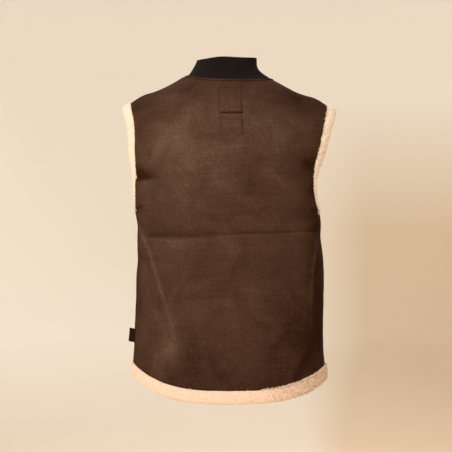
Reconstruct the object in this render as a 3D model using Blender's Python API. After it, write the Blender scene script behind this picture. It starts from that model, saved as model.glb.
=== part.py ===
"""Suede gilet with fleece edges, filled out as it is worn: front to -Y, up to +Z.

The origin is the middle of the base of the neck, between the shoulder seams. Every panel
is a sheet of rows (down the garment) and columns (round the body) on one body surface.
"""

import math
from collections import namedtuple

import bmesh
import bpy
import numpy as np
from mathutils import Vector

# Driving dimensions, in metres
NECK_X = 0.093  # half the width of the neckline, at its base
NECK_Z = 0.0021
NECK_DROP_BACK = 0.012
NECK_DROP_FRONT = 0.071
NECK_POWER = 2.0
NECK_POWER_BACK_LEFT = 4.0  # squarer behind the wearer's left side
TIP_X = 0.2157  # end of the shoulder seam
SHOULDER_SLOPE = 0.497
SHOULDER_TILT = 0.004  # the wearer's left shoulder stands this much higher
RIDGE_ROUND = 0.030  # rounds the line of the shoulders where it crosses the neck
BULGE_X = 0.190  # the shoulders stand a little fuller here, just inside their tips
BULGE_SPREAD = 0.018
BULGE_HEIGHT = 0.0046
SAG_X = 0.138  # and a little flatter here
SAG_SPREAD = 0.026
SAG_DEPTH = 0.0018
SHOULDER_ROLL = 0.090  # height over which the top rolls over from front to back
SEAM_Y = -0.015  # shoulder seams, and the widest line of the body
SIDE_SEAM_Y = 0.012  # side seams lie a little behind the widest line
BODY_POWER = 2.3  # squareness of the body's cross-section
UNDERARM_SHARE = 0.416  # share of the side's height that the armhole takes
ARMHOLE_BACK = 0.052
ARMHOLE_FRONT = 0.071
ARMHOLE_FRONT_INSET = 0.014  # the front edge lies this much further in than the back one
ARMHOLE_TOP_POWER = 2.4  # squarer at the top than at the bottom
TIP_PROBE = 0.004  # the body's width at the very tip is read this far below it
HEM_SIDE_LEFT = -0.6190
HEM_SIDE_RIGHT = -0.6270
HEM_BACK = -0.6667
HEM_FRONT = -0.646
HEM_BACK_POWER = 3.0
HEM_FRONT_POWER = 2.2
WALL = 0.004  # suede bonded to its lining
GAP = 0.0003  # between sewn pieces
CURVE_GAP = 0.0007  # round the tight curves of the armholes and neck
HEM_BAND = 0.0277
ARM_BAND = 0.022
ARM_BAND_LOW = 0.010  # narrower under the arm
ARM_BAND_TURN = 0.85  # share of its outward lean that it loses there
NARROW_FROM = 0.62  # height share at which it starts to narrow, and over how much it does so
NARROW_OVER = 0.50
FLEECE_PROUD = 0.0032
COLLAR_WALL = 0.003
COLLAR_SIDE = 0.0341  # heights above the neckline at the side, back and front
COLLAR_BACK = 0.0489
COLLAR_FRONT = 0.0400
COLLAR_RIGHT_RISE = 0.0123
COLLAR_TOP_CENTRE = (0.0041, -0.014)
COLLAR_TOP_RADII = (0.0655, 0.071)
COLLAR_FLARE = 0.0120  # how far it follows the panels before it turns upright
COLLAR_UPRIGHT = 0.0180
COLLAR_LEAN = 0.0065  # less flare on the wearer's left, more on the right
COLLAR_TURN = 1.5  # how early its wall turns from the panels' slant to the neck's
ZIP_HALF = 0.0035  # half the gap between the fronts
TAPE_EDGE = 0.0165
TAPE_WALL = 0.0008
TEETH_EDGE = 0.0031
TEETH_SUNK = 0.0010
SLIDER_DROP = 0.016  # slider's centre below the top of the zip

# Rows and columns of the sheets
ARMHOLE_ROWS = 16
SIDE_ROWS = 18
SMOOTH_ROWS = 5  # the body's width is evened out over this many rows
EDGE_POWER = 6  # how closely a change of width keeps to the edge
EDGE_DEPTH = 0.72  # an armhole's edge lies no deeper than about this share of the body
NECK_COLUMNS = 6
SHOULDER_COLUMNS = 8
TOP_BLEND = 0.16  # share of the side over which the top's columns even out
SECTION_SAMPLES = 400
SMOOTH_PASSES = 3  # round the armholes
INSIDE = (0.0, SEAM_Y, -0.3)  # a place inside the body
TINY = 1e-9
SHARP_ANGLE = 50

# Half-width of the body at the armhole's back edge, and at the side seam below it
Width = namedtuple("Width", "z left right")
WIDTHS = (
    Width(-0.050, 0.2157, 0.2157),
    Width(-0.065, 0.2130, 0.2147),
    Width(-0.100, 0.2050, 0.2068),
    Width(-0.135, 0.2020, 0.1992),
    Width(-0.170, 0.2017, 0.1912),
    Width(-0.205, 0.1992, 0.1832),
    Width(-0.240, 0.2003, 0.1822),
    Width(-0.270, 0.2013, 0.1874),
    Width(-0.295, 0.2013, 0.1940),
    Width(-0.327, 0.1967, 0.1980),
    Width(-0.353, 0.1970, 0.1974),
    Width(-0.375, 0.1968, 0.2002),
    Width(-0.397, 0.1962, 0.2028),
    Width(-0.432, 0.1990, 0.2046),
    Width(-0.484, 0.2010, 0.2044),
    Width(-0.589, 0.2052, 0.2042),
    Width(-0.640, 0.2091, 0.2083),
)

# Depth of the body behind and in front of the widest line, at its middle
Depth = namedtuple("Depth", "z back front")
DEPTHS = (
    Depth(0.010, 0.083, 0.056),
    Depth(-0.020, 0.094, 0.067),
    Depth(-0.070, 0.111, 0.087),
    Depth(-0.120, 0.123, 0.101),
    Depth(-0.200, 0.127, 0.112),
    Depth(-0.280, 0.121, 0.112),
    Depth(-0.350, 0.115, 0.107),
    Depth(-0.420, 0.116, 0.104),
    Depth(-0.500, 0.122, 0.105),
    Depth(-0.580, 0.128, 0.107),
    Depth(-0.670, 0.131, 0.108),
)

# Largest folds: a soft ridge (height above 0) or trough along a line seen from behind or in front
Fold = namedtuple("Fold", "x0 z0 x1 z1 width height")
BACK_FOLDS = (
    Fold(0.172, -0.340, 0.020, -0.339, 0.0075, -0.0036),
    Fold(0.020, -0.339, -0.190, -0.334, 0.0055, -0.0024),
    Fold(0.192, -0.330, 0.170, -0.384, 0.013, 0.0030),
    Fold(0.170, -0.384, 0.146, -0.475, 0.013, 0.0034),
    Fold(0.146, -0.475, 0.120, -0.550, 0.014, 0.0026),
    Fold(-0.190, -0.350, -0.182, -0.400, 0.012, 0.0026),
    Fold(-0.182, -0.400, -0.176, -0.500, 0.013, 0.0030),
    Fold(-0.192, -0.560, -0.174, -0.600, 0.012, -0.0038),
    Fold(-0.174, -0.600, -0.144, -0.640, 0.012, -0.0036),
    Fold(0.192, -0.208, 0.158, -0.200, 0.012, -0.0040),
    Fold(-0.180, -0.196, -0.150, -0.188, 0.011, -0.0034),
    Fold(-0.178, -0.246, -0.160, -0.240, 0.010, -0.0026),
)
FRONT_FOLDS = (
    Fold(0.165, -0.352, 0.050, -0.344, 0.008, -0.0034),
    Fold(-0.170, -0.344, -0.060, -0.352, 0.008, -0.0032),
    Fold(0.160, -0.215, 0.110, -0.250, 0.012, -0.0034),
    Fold(-0.158, -0.222, -0.118, -0.246, 0.012, -0.0030),
    Fold(0.172, -0.400, 0.140, -0.540, 0.014, 0.0032),
    Fold(-0.174, -0.410, -0.150, -0.520, 0.014, 0.0030),
    Fold(0.168, -0.585, 0.120, -0.630, 0.012, -0.0032),
    Fold(-0.160, -0.570, -0.110, -0.615, 0.012, -0.0030),
)

# Profile across a fleece strip: share of its width, and height above and below the cloth
FleecePoint = namedtuple("FleecePoint", "share outside inside")
FLEECE_PROFILE = (
    FleecePoint(0.00, 0.15, 0.15),
    FleecePoint(0.14, 0.90, 0.80),
    FleecePoint(0.45, 1.10, 1.00),
    FleecePoint(0.78, 0.95, 0.90),
    FleecePoint(0.95, 0.20, 0.25),
)

# Collar profile from its seam to its top: share of the way, and share of the wall
CollarPoint = namedtuple("CollarPoint", "share wall")
COLLAR_PROFILE = (
    CollarPoint(0.00, 1.0),
    CollarPoint(0.16, 1.0),
    CollarPoint(0.34, 1.0),
    CollarPoint(0.55, 1.0),
    CollarPoint(0.78, 1.0),
    CollarPoint(0.95, 0.9),
    CollarPoint(1.00, 0.5),
)
COLLAR_END_HEIGHTS = (0.70, 0.83, 0.91, 0.96, 0.99)  # rounds the collar's two front corners

# Slider and pull, in their own frame: across, up the zip, and out of it
SLIDER_SIZE = (0.0090, 0.0130, 0.0014)
SLIDER_LIFT = 0.0007
BRIDGE_WIDTH = 0.0016
BRIDGE_HALF = 0.0040
BRIDGE_HOLE_HALF = 0.0022
BRIDGE_HOLE = 0.0026
BRIDGE_BAR = 0.0011
PULL_BAR = 0.0012
PULL_LENGTH = 0.028
PULL_HALF_TOP = 0.0035
PULL_HALF_END = 0.0042
PULL_SLOT_HALF = 0.0019
PULL_SLOT = 0.0058
PULL_TAPER_FROM = 0.86  # share of its length
PULL_TIP = 0.6  # share of its width

# Side tab
TAB_TOP_Z = -0.5455
TAB_HEIGHT = 0.0295
TAB_REACH = 0.0122
TAB_SLANT = 0.0012  # its lower corner reaches this much further out
TAB_WALL = 0.0016
TAB_RISE = 0.0025  # its free end stands this much higher
TAB_BEND = 0.0020  # and this much further forward
TAB_ROWS = 4

Finish = namedtuple("Finish", "colour roughness metallic")
FINISHES = {
    "suede": Finish((0.075, 0.042, 0.026), 0.95, 0.0),
    "fleece": Finish((0.86, 0.68, 0.47), 1.0, 0.0),
    "knit": Finish((0.012, 0.010, 0.009), 0.9, 0.0),
    "tab_cloth": Finish((0.045, 0.010, 0.009), 0.8, 0.0),
    "zip_tape": Finish((0.020, 0.014, 0.011), 0.9, 0.0),
    "zip_metal": Finish((0.33, 0.25, 0.15), 0.35, 1.0),
}


def smooth_between(at, places, values):
    """Value at a place on a smooth curve through a table's points, kept level past its ends."""
    places = np.asarray(places)
    values = np.asarray(values)
    if places[0] > places[-1]:
        places = places[::-1]
        values = values[::-1]
    slopes = np.gradient(values, places)
    at = min(max(at, places[0]), places[-1])
    i = min(int(np.searchsorted(places, at, side="right")) - 1, len(places) - 2)
    step = places[i + 1] - places[i]
    t = (at - places[i]) / step
    rise = values[i + 1] - values[i]
    bend = t * (1 - t)
    return (
        values[i]
        + rise * t * t * (3 - 2 * t)
        + bend * step * ((1 - t) * slopes[i] - t * slopes[i + 1])
    )


def edge_width(z, side):
    """Measured half-width at a height: side is 1 on the wearer's left and -1 on the right."""
    column = [row.left if side > 0 else row.right for row in WIDTHS]
    return smooth_between(z, [row.z for row in WIDTHS], column)


def body_depth(z, behind):
    column = [row.back if behind else row.front for row in DEPTHS]
    return smooth_between(z, [row.z for row in DEPTHS], column)


def shoulder_line(x):
    """Height of the shoulder seams at x, carried on across the neck."""
    ridge = math.hypot(x, RIDGE_ROUND) - math.hypot(NECK_X, RIDGE_ROUND)
    ratio = x / NECK_X
    tilt = SHOULDER_TILT * 2 * ratio / (1 + ratio * ratio)
    bulge = BULGE_HEIGHT * math.exp(-(((abs(x) - BULGE_X) / BULGE_SPREAD) ** 2))
    sag = SAG_DEPTH * math.exp(-(((abs(x) - SAG_X) / SAG_SPREAD) ** 2))
    return NECK_Z - SHOULDER_SLOPE * ridge + tilt + bulge - sag


def neckline(x, behind):
    """Height of the neckline at x: a bow between the two shoulder seams."""
    share = x / NECK_X
    drop = NECK_DROP_BACK if behind else NECK_DROP_FRONT
    power = NECK_POWER_BACK_LEFT if behind and x > 0 else NECK_POWER
    left = shoulder_line(NECK_X)
    right = shoulder_line(-NECK_X)
    return (left + right) / 2 + (left - right) / 2 * share - drop * (1 - abs(share) ** power)


def shoulder_roll(x, z):
    """Share of the full depth at a height: 0 on the shoulder seam, 1 well below it."""
    below = min(max((shoulder_line(x) - z) / SHOULDER_ROLL, 0.0), 1.0)
    return math.sqrt(1 - (1 - below) ** 2)


def tip_height(side):
    return shoulder_line(side * TIP_X)


def hem_side(side):
    return HEM_SIDE_LEFT if side > 0 else HEM_SIDE_RIGHT


def row_shares():
    """Heights of the rows as shares of the side: dense round the armhole's ends."""
    armhole = [
        UNDERARM_SHARE * (1 - math.cos(math.pi * i / ARMHOLE_ROWS)) / 2
        for i in range(ARMHOLE_ROWS + 1)
    ]
    below = [
        UNDERARM_SHARE + (1 - UNDERARM_SHARE) * i / SIDE_ROWS for i in range(1, SIDE_ROWS + 1)
    ]
    return armhole + below


def edge_height(share, side):
    top = tip_height(side)
    return top + (hem_side(side) - top) * share


def armhole_bow(share):
    """How far the armhole has opened at a row: 0 at its top and bottom, 1 between them."""
    along = share / UNDERARM_SHARE
    if along >= 1:
        return 0.0
    exponent = ARMHOLE_TOP_POWER if along < 0.5 else 2.0
    return (1 - abs(2 * along - 1) ** exponent) ** (1 / exponent)


def armhole_y(share, behind):
    """Where the sheet ends at a row: the armhole's oval, then the side seam."""
    along = min(share / UNDERARM_SHARE, 1.0)
    axis = SEAM_Y + (SIDE_SEAM_Y - SEAM_Y) * along
    bow = armhole_bow(share)
    return axis + ARMHOLE_BACK * bow if behind else axis - ARMHOLE_FRONT * bow


def power(value, exponent):
    return math.copysign(abs(value) ** exponent, value)


class BodyRow:
    """One row of the body on one side: a cross-section from the front's middle to the back's."""

    def __init__(self, share, side, behind):
        self.share = share
        self.side = side
        self.behind = behind
        self.edge_z = edge_height(share, side)
        self.edge = edge_width(self.edge_z, side)
        if not behind:
            self.edge -= ARMHOLE_FRONT_INSET * armhole_bow(share)
        probe_share = max(share, TIP_PROBE)
        probe_z = edge_height(probe_share, side)
        roll = shoulder_roll(side * self.edge, probe_z)
        self.end = self.end_angle(probe_share, probe_z, roll, behind)
        self.wide = self.edge / math.sin(self.end) ** (2 / BODY_POWER)

    def even_out(self, wide):
        """Takes a smoother width, and stretches the edge alone back to where it was."""
        self.wide = wide
        self.eased_edge = wide * math.sin(self.end) ** (2 / BODY_POWER)

    def end_angle(self, share, z, roll, behind):
        """Angle at which the sheet meets the armhole or side seam: 0 in front, pi behind."""
        forward = SEAM_Y - armhole_y(share, behind)
        depth = body_depth(z, forward < 0) * roll
        reach = abs(forward) / depth
        reach /= (1 + (reach / EDGE_DEPTH) ** EDGE_POWER) ** (1 / EDGE_POWER)
        return math.acos(power(math.copysign(reach, forward), BODY_POWER / 2))

    def angle_at(self, x):
        """Angle at a distance from the middle line, on this row's own side of the body."""
        middle = math.pi if self.behind else 0.0
        widest = max(self.end, math.pi / 2) if self.behind else min(self.end, math.pi / 2)
        angles = np.linspace(middle, widest, SECTION_SAMPLES)
        return float(np.interp(x, [self.reach(angle) for angle in angles], angles))

    def reach(self, angle):
        """Distance from the middle line at an angle."""
        x = self.wide * abs(math.sin(angle)) ** (2 / BODY_POWER)
        return x * (1 + (self.edge / self.eased_edge - 1) * (x / self.eased_edge) ** EDGE_POWER)

    def flat_point(self, angle):
        """Place of an angle on the cross-section, before the shoulders roll over."""
        forward = power(math.cos(angle), 2 / BODY_POWER)
        return self.reach(angle), -forward * body_depth(self.edge_z, forward < 0)

    def spread(self, first, last, count):
        """Angles from first to last, evenly spaced along the cloth."""
        angles = np.linspace(first, last, SECTION_SAMPLES)
        places = np.array([self.flat_point(angle) for angle in angles])
        steps = np.hypot(*np.diff(places, axis=0).T)
        along = np.concatenate([[0.0], np.cumsum(steps)])
        return np.interp(np.linspace(0, along[-1], count + 1), along, angles)

    def point(self, angle, z):
        """Point of the body surface at an angle and a height."""
        x = self.side * self.reach(angle)
        forward = power(math.cos(angle), 2 / BODY_POWER)
        depth = body_depth(z, forward < 0) * shoulder_roll(x, z)
        return np.array((x, SEAM_Y - forward * depth, z))


def body_rows(side, behind):
    """All rows of one panel's side, with the widths evened out down the body."""
    rows = [BodyRow(share, side, behind) for share in row_shares()]
    heights = np.array([row.edge_z for row in rows])
    wides = np.array([row.wide for row in rows])
    spread = (heights[0] - heights[-1]) / len(rows) * SMOOTH_ROWS / 2
    for row in rows:
        weights = np.exp(-(((heights - row.edge_z) / spread) ** 2)) * np.abs(np.gradient(heights))
        row.even_out(float(np.sum(weights * wides) / np.sum(weights)))
    return rows


def ease(value):
    value = min(max(value, 0.0), 1.0)
    return value * value * (3 - 2 * value)


def top_x(first_x):
    """Columns of the top edge: the neckline, then the shoulder seam."""
    neck = np.linspace(first_x, NECK_X, NECK_COLUMNS + 1)
    shoulder = np.linspace(NECK_X, TIP_X, SHOULDER_COLUMNS + 1)[1:]
    return np.concatenate([neck, shoulder])


def half_sheet(side, behind):
    """Outer points of one half of the back, or of one front, from the middle to the side."""
    first_x = 0.0 if behind else ZIP_HALF
    columns = top_x(first_x)
    if not behind:
        columns[1] = TAPE_EDGE
    count = len(columns) - 1
    rows = []
    for row in body_rows(side, behind):
        last = row.end
        if behind:
            spread = row.spread(math.pi, last, count)
        else:
            tape = row.angle_at(TAPE_EDGE)
            edge = row.angle_at(ZIP_HALF)
            spread = np.concatenate([[edge], row.spread(tape, last, count - 1)])
        top = np.array([row.angle_at(x) for x in columns])
        blend = ease(row.share / TOP_BLEND)
        angles = top * (1 - blend) + spread * blend
        angles[-1] = last
        rows.append((row, angles))
    bottom, bottom_angles = rows[-1]
    hem = []
    for angle in bottom_angles:
        x = min(bottom.flat_point(angle)[0] / bottom.flat_point(bottom.end)[0], 1.0)
        middle = HEM_BACK if behind else HEM_FRONT
        bow = x ** (HEM_BACK_POWER if behind else HEM_FRONT_POWER)
        hem.append(middle + (hem_side(side) - middle) * bow)
    sheet = np.zeros((len(rows), len(columns), 3))
    for i, (row, angles) in enumerate(rows):
        for j, angle in enumerate(angles):
            x = side * columns[j]
            top = neckline(x, behind) if j < NECK_COLUMNS else shoulder_line(x)
            z = top + (hem[j] - top) * row.share
            sheet[i, j] = row.point(angle, z)
            if i == 0 and j >= NECK_COLUMNS:
                sheet[i, j] = (x, SEAM_Y, z)
    return sheet


def fold_height(x, z, folds):
    total = 0.0
    for fold in folds:
        run = (fold.x1 - fold.x0, fold.z1 - fold.z0)
        length = run[0] ** 2 + run[1] ** 2
        along = ((x - fold.x0) * run[0] + (z - fold.z0) * run[1]) / length
        along = min(max(along, 0.0), 1.0)
        off = math.hypot(x - fold.x0 - along * run[0], z - fold.z0 - along * run[1])
        total += fold.height * math.exp(-((off / fold.width) ** 2))
    return total


def unit(vectors):
    vectors = np.asarray(vectors, dtype=float)
    return vectors / np.linalg.norm(vectors, axis=-1, keepdims=True)


def sheet_normals(sheet):
    """Outward direction at each point of a sheet whose columns run from -X to +X behind."""
    across = np.gradient(sheet, axis=1)
    down = np.gradient(sheet, axis=0)
    normals = unit(np.cross(across, down))
    return normals * np.sign(np.sum(normals * (sheet - np.array(INSIDE))))


def add_folds(sheet, normals, folds):
    """Moves points out or in along the folds, but not at the seams round the sheet."""
    rows, columns = sheet.shape[:2]
    for i in range(1, rows - 1):
        for j in range(1, columns - 1):
            inside = min(1.0, min(i, rows - 1 - i, j, columns - 1 - j) / 2)
            sheet[i, j] += normals[i, j] * fold_height(sheet[i, j, 0], sheet[i, j, 2], folds) * inside


def share_normals(one, other):
    """Gives two sheets that meet at a seam one direction there."""
    joined = unit(one + other)
    one[...] = joined
    other[...] = joined


def make_sheets():
    """The back, and the two fronts, as outer points and outward directions, each a copy."""
    left = half_sheet(1, True)
    right = half_sheet(-1, True)
    back = np.concatenate([right[:, :0:-1], left], axis=1)
    sheets = {
        "back_panel": back,
        "front_left": half_sheet(1, False),
        "front_right": half_sheet(-1, False),
    }
    sheets = {name: [sheet, sheet_normals(sheet)] for name, sheet in sheets.items()}
    for name, (sheet, normals) in sheets.items():
        add_folds(sheet, normals, BACK_FOLDS if name == "back_panel" else FRONT_FOLDS)
        sheets[name][1] = sheet_normals(sheet)
    back, back_out = sheets["back_panel"]
    half = NECK_COLUMNS + SHOULDER_COLUMNS
    for side, name in ((1, "front_left"), (-1, "front_right")):
        front_out = sheets[name][1]
        front_out[:, 0, 0] = 0.0
        back_half = back_out[:, half:] if side > 0 else back_out[:, half::-1]
        share_normals(front_out[0, NECK_COLUMNS:], back_half[0, NECK_COLUMNS:])
        share_normals(front_out[ARMHOLE_ROWS:, -1], back_half[ARMHOLE_ROWS:, -1])
        front_out[0, NECK_COLUMNS:, 1] = 0.0
        back_half[0, NECK_COLUMNS:, 1] = 0.0
    for sheet in sheets.values():
        sheet[1] = unit(sheet[1])
    for side in (1, -1):
        smooth_armhole(sheets, side)
    return sheets


def smooth_armhole(sheets, side):
    """Evens out the directions round an armhole, so that its strip runs without a kink."""
    _, normals = armhole_loop(sheets, side)
    for _ in range(SMOOTH_PASSES):
        normals = unit(np.roll(normals, 1, axis=0) + 2 * normals + np.roll(normals, -1, axis=0))
    back = sheets["back_panel"][1]
    front = sheets["front_left" if side > 0 else "front_right"][1]
    back[:ARMHOLE_ROWS + 1, -1 if side > 0 else 0] = normals[:ARMHOLE_ROWS + 1]
    front[0, -1] = normals[0]
    front[ARMHOLE_ROWS, -1] = normals[ARMHOLE_ROWS]
    for k, i in enumerate(range(ARMHOLE_ROWS - 1, 0, -1)):
        front[i, -1] = normals[ARMHOLE_ROWS + 1 + k]


def open_seams(sheets):
    """Draws each panel back half a gap from the shoulder and side seams."""
    half = GAP / 2
    for name, (sheet, _) in sheets.items():
        way = 1 if name == "back_panel" else -1
        ends = (0, -1) if name == "back_panel" else (-1,)
        columns = range(sheet.shape[1])
        for j in columns:
            if abs(sheet[0, j, 1] - SEAM_Y) < TINY:
                sheet[0, j, 1] += way * half
        for j in ends:
            sheet[ARMHOLE_ROWS:, j, 1] += way * half


def finish_object(name, bm, finish):
    """Makes a named object with its own material from a closed mesh."""
    bmesh.ops.recalc_face_normals(bm, faces=bm.faces)
    mesh = bpy.data.meshes.new(name)
    bm.to_mesh(mesh)
    bm.free()
    look = FINISHES[finish]
    material = bpy.data.materials.new(name + "_" + finish)
    material.use_nodes = True
    shader = material.node_tree.nodes["Principled BSDF"]
    shader.inputs["Base Color"].default_value = (*look.colour, 1.0)
    shader.inputs["Roughness"].default_value = look.roughness
    shader.inputs["Metallic"].default_value = look.metallic
    material.diffuse_color = (*look.colour, 1.0)
    mesh.materials.append(material)
    mesh.shade_smooth()
    mesh.set_sharp_from_angle(angle=math.radians(SHARP_ANGLE))
    piece = bpy.data.objects.new(name, mesh)
    bpy.context.scene.collection.objects.link(piece)
    return piece


def wall_between(name, outer, inner, finish):
    """Closed wall between two sheets of points with the same rows and columns."""
    rows, columns = outer.shape[:2]
    bm = bmesh.new()
    faces = [[[bm.verts.new(p) for p in row] for row in sheet] for sheet in (outer, inner)]
    for grid in faces:
        for i in range(rows - 1):
            for j in range(columns - 1):
                bm.faces.new((grid[i][j], grid[i][j + 1], grid[i + 1][j + 1], grid[i + 1][j]))
    rim = [(0, j) for j in range(columns)]
    rim += [(i, columns - 1) for i in range(1, rows)]
    rim += [(rows - 1, j) for j in range(columns - 2, -1, -1)]
    rim += [(i, 0) for i in range(rows - 2, 0, -1)]
    for pair in zip(rim, rim[1:] + rim[:1]):
        # Both panels of a seam split their edge faces the same way, so that they can't cross
        (i, j), (k, m) = sorted(pair, key=lambda place: (place[0], abs(outer[place][0])))
        bm.faces.new((faces[0][i][j], faces[0][k][m], faces[1][k][m]))
        bm.faces.new((faces[0][i][j], faces[1][k][m], faces[1][i][j]))
    return finish_object(name, bm, finish)


def loft(name, rings, finish, closed=False):
    """Closed body through rings of points: a loop, or a strip with its two ends filled."""
    bm = bmesh.new()
    loops = [[bm.verts.new(p) for p in ring] for ring in rings]
    pairs = list(zip(loops, loops[1:]))
    if closed:
        pairs.append((loops[-1], loops[0]))
    else:
        bm.faces.new(loops[0])
        bm.faces.new(loops[-1])
    for one, other in pairs:
        for k in range(len(one)):
            m = (k + 1) % len(one)
            bm.faces.new((one[k], one[m], other[m], other[k]))
    return finish_object(name, bm, finish)


def fleece_rings(points, normals, along, gap, widths):
    """Sections of a plump strip that carries a sheet's edge on, one at each edge point."""
    rings = []
    for point, normal, way, width in zip(points, normals, along, widths):
        ring = []
        for row in FLEECE_PROFILE:
            place = point + way * (gap + row.share * width)
            ring.append(place + normal * FLEECE_PROUD * row.outside)
        tip = point + way * (gap + width) - normal * WALL / 2
        ring.append(tip)
        for row in reversed(FLEECE_PROFILE):
            place = point + way * (gap + row.share * width)
            ring.append(place - normal * (WALL + FLEECE_PROUD * row.inside))
        rings.append(ring)
    return rings


def beyond_edge(points, normals, closed):
    """Directions that carry a sheet on past an edge, square to the edge and to the normals."""
    if closed:
        run = np.roll(points, -1, axis=0) - np.roll(points, 1, axis=0)
    else:
        run = np.gradient(points, axis=0)
    return unit(np.cross(normals, unit(run)))


def build_panels(sheets):
    for name, (outer, normals) in sheets.items():
        wall_between(name, outer, outer - normals * WALL, "suede")


def build_hem_bands(sheets):
    for name, (outer, normals) in sheets.items():
        points, out = outer[-1], normals[-1]
        along = beyond_edge(points, out, False)
        along *= -np.sign(along[:, 2:3])
        for end in (0, -1):
            square_to_seam(along, end)
        rings = fleece_rings(points, out, along, GAP, [HEM_BAND] * len(points))
        loft("hem_band_" + name.replace("_panel", ""), rings, "fleece")


def square_to_seam(along, end):
    """Keeps a strip's end square, so that it meets the next strip face to face."""
    along[end] = unit(along[end] * np.array((1.0, 0.0, 1.0)))


def armhole_loop(sheets, side):
    """Points and directions round one armhole: down its back edge and up its front edge."""
    back, back_out = sheets["back_panel"]
    front, front_out = sheets["front_left" if side > 0 else "front_right"]
    end = -1 if side > 0 else 0
    points = list(back[:ARMHOLE_ROWS + 1, end])
    normals = list(back_out[:ARMHOLE_ROWS + 1, end])
    for i in range(ARMHOLE_ROWS - 1, 0, -1):
        points.append(front[i, -1])
        normals.append(front_out[i, -1])
    points, normals = np.array(points), np.array(normals)
    points[0, 1] = SEAM_Y
    points[ARMHOLE_ROWS, 1] = SIDE_SEAM_Y
    return points, normals


def height_shares(points):
    """Heights of a loop's points, from 0 at its lowest to 1 at its highest."""
    heights = points[:, 2]
    return (heights - heights.min()) / (heights.max() - heights.min())


def build_armhole_bands(sheets):
    for side, word in ((1, "left"), (-1, "right")):
        points, normals = armhole_loop(sheets, side)
        along = beyond_edge(points, normals, True)
        if along[0, 0] * side < 0:
            along = -along
        low = np.array([ease((NARROW_FROM - share) / NARROW_OVER) for share in height_shares(points)])
        along[:, 0] *= 1 - ARM_BAND_TURN * low
        for _ in range(SMOOTH_PASSES):
            along = unit(np.roll(along, 1, axis=0) + 2 * along + np.roll(along, -1, axis=0))
        widths = ARM_BAND + (ARM_BAND_LOW - ARM_BAND) * low
        rings = fleece_rings(points, normals, unit(along), CURVE_GAP, widths)
        loft("armhole_band_" + word, rings, "fleece", closed=True)


def neck_loop(sheets):
    """Points and directions along the neckline, from the zip round the back to the zip."""
    back, back_out = sheets["back_panel"]
    middle = NECK_COLUMNS + SHOULDER_COLUMNS
    reach = slice(middle - NECK_COLUMNS + 1, middle + NECK_COLUMNS)
    pieces = []
    for source in (0, 1):
        left = sheets["front_left"][source][0, :NECK_COLUMNS + 1]
        right = sheets["front_right"][source][0, :NECK_COLUMNS + 1]
        behind = (back, back_out)[source][0, reach]
        pieces.append(np.concatenate([left, behind[::-1], right[::-1]]))
    pieces[0][NECK_COLUMNS, 1] = SEAM_Y
    pieces[0][-NECK_COLUMNS - 1, 1] = SEAM_Y
    return pieces


def collar_top(point, height):
    """Where the collar's top edge stands above a point of the neckline."""
    angle = math.atan2(point[1] - COLLAR_TOP_CENTRE[1], point[0] - COLLAR_TOP_CENTRE[0])
    x = COLLAR_TOP_CENTRE[0] + COLLAR_TOP_RADII[0] * math.cos(angle)
    y = COLLAR_TOP_CENTRE[1] + COLLAR_TOP_RADII[1] * math.sin(angle)
    end = COLLAR_BACK if point[1] > COLLAR_TOP_CENTRE[1] else COLLAR_FRONT
    stand = COLLAR_SIDE + (end - COLLAR_SIDE) * math.sin(angle) ** 2
    stand += COLLAR_RIGHT_RISE * max(0.0, -math.cos(angle)) ** 2
    return np.array((x, y, point[2] + stand * height))


def with_halfway(values):
    """The rows given, with one more halfway between each two neighbours."""
    finer = np.zeros((2 * len(values) - 1, 3))
    finer[::2] = values
    finer[1::2] = (values[1:] + values[:-1]) / 2
    return finer


def build_collar(sheets):
    """Stand collar: leaves the neckline along the panels and turns upright."""
    points, normals = neck_loop(sheets)
    along = beyond_edge(points, normals, False)
    along *= np.sign(along[:, 2:3])
    points = with_halfway(points)
    normals = np.array([unit(row) for row in with_halfway(normals)])
    along = np.array([unit(row) for row in with_halfway(along)])
    heights = [1.0] * len(points)
    for i, height in enumerate(COLLAR_END_HEIGHTS):
        heights[i] = height
        heights[-1 - i] = height
    rings = []
    for point, normal, way, height in zip(points, normals, along, heights):
        start = point + way * CURVE_GAP
        top = collar_top(point, height)
        radial = unit(np.array((top[0] - COLLAR_TOP_CENTRE[0], top[1] - COLLAR_TOP_CENTRE[1], 0.0)))
        bend_low = start + way * (COLLAR_FLARE - COLLAR_LEAN * radial[0])
        bend_high = top - np.array((0.0, 0.0, (COLLAR_UPRIGHT - 2 * COLLAR_LEAN * radial[0]) * height))
        outside = []
        inside = []
        for row in COLLAR_PROFILE:
            t = row.share
            place = (
                start * (1 - t) ** 3
                + bend_low * 3 * t * (1 - t) ** 2
                + bend_high * 3 * t * t * (1 - t)
                + top * t ** 3
            )
            turn = ease(t * COLLAR_TURN)
            lean = unit(normal * (1 - turn) + radial * turn)
            middle = place - lean * COLLAR_WALL / 2
            outside.append(middle + lean * COLLAR_WALL / 2 * row.wall)
            inside.append(middle - lean * COLLAR_WALL / 2 * row.wall)
        rings.append(outside + inside[::-1])
    loft("collar", rings, "knit")


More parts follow.
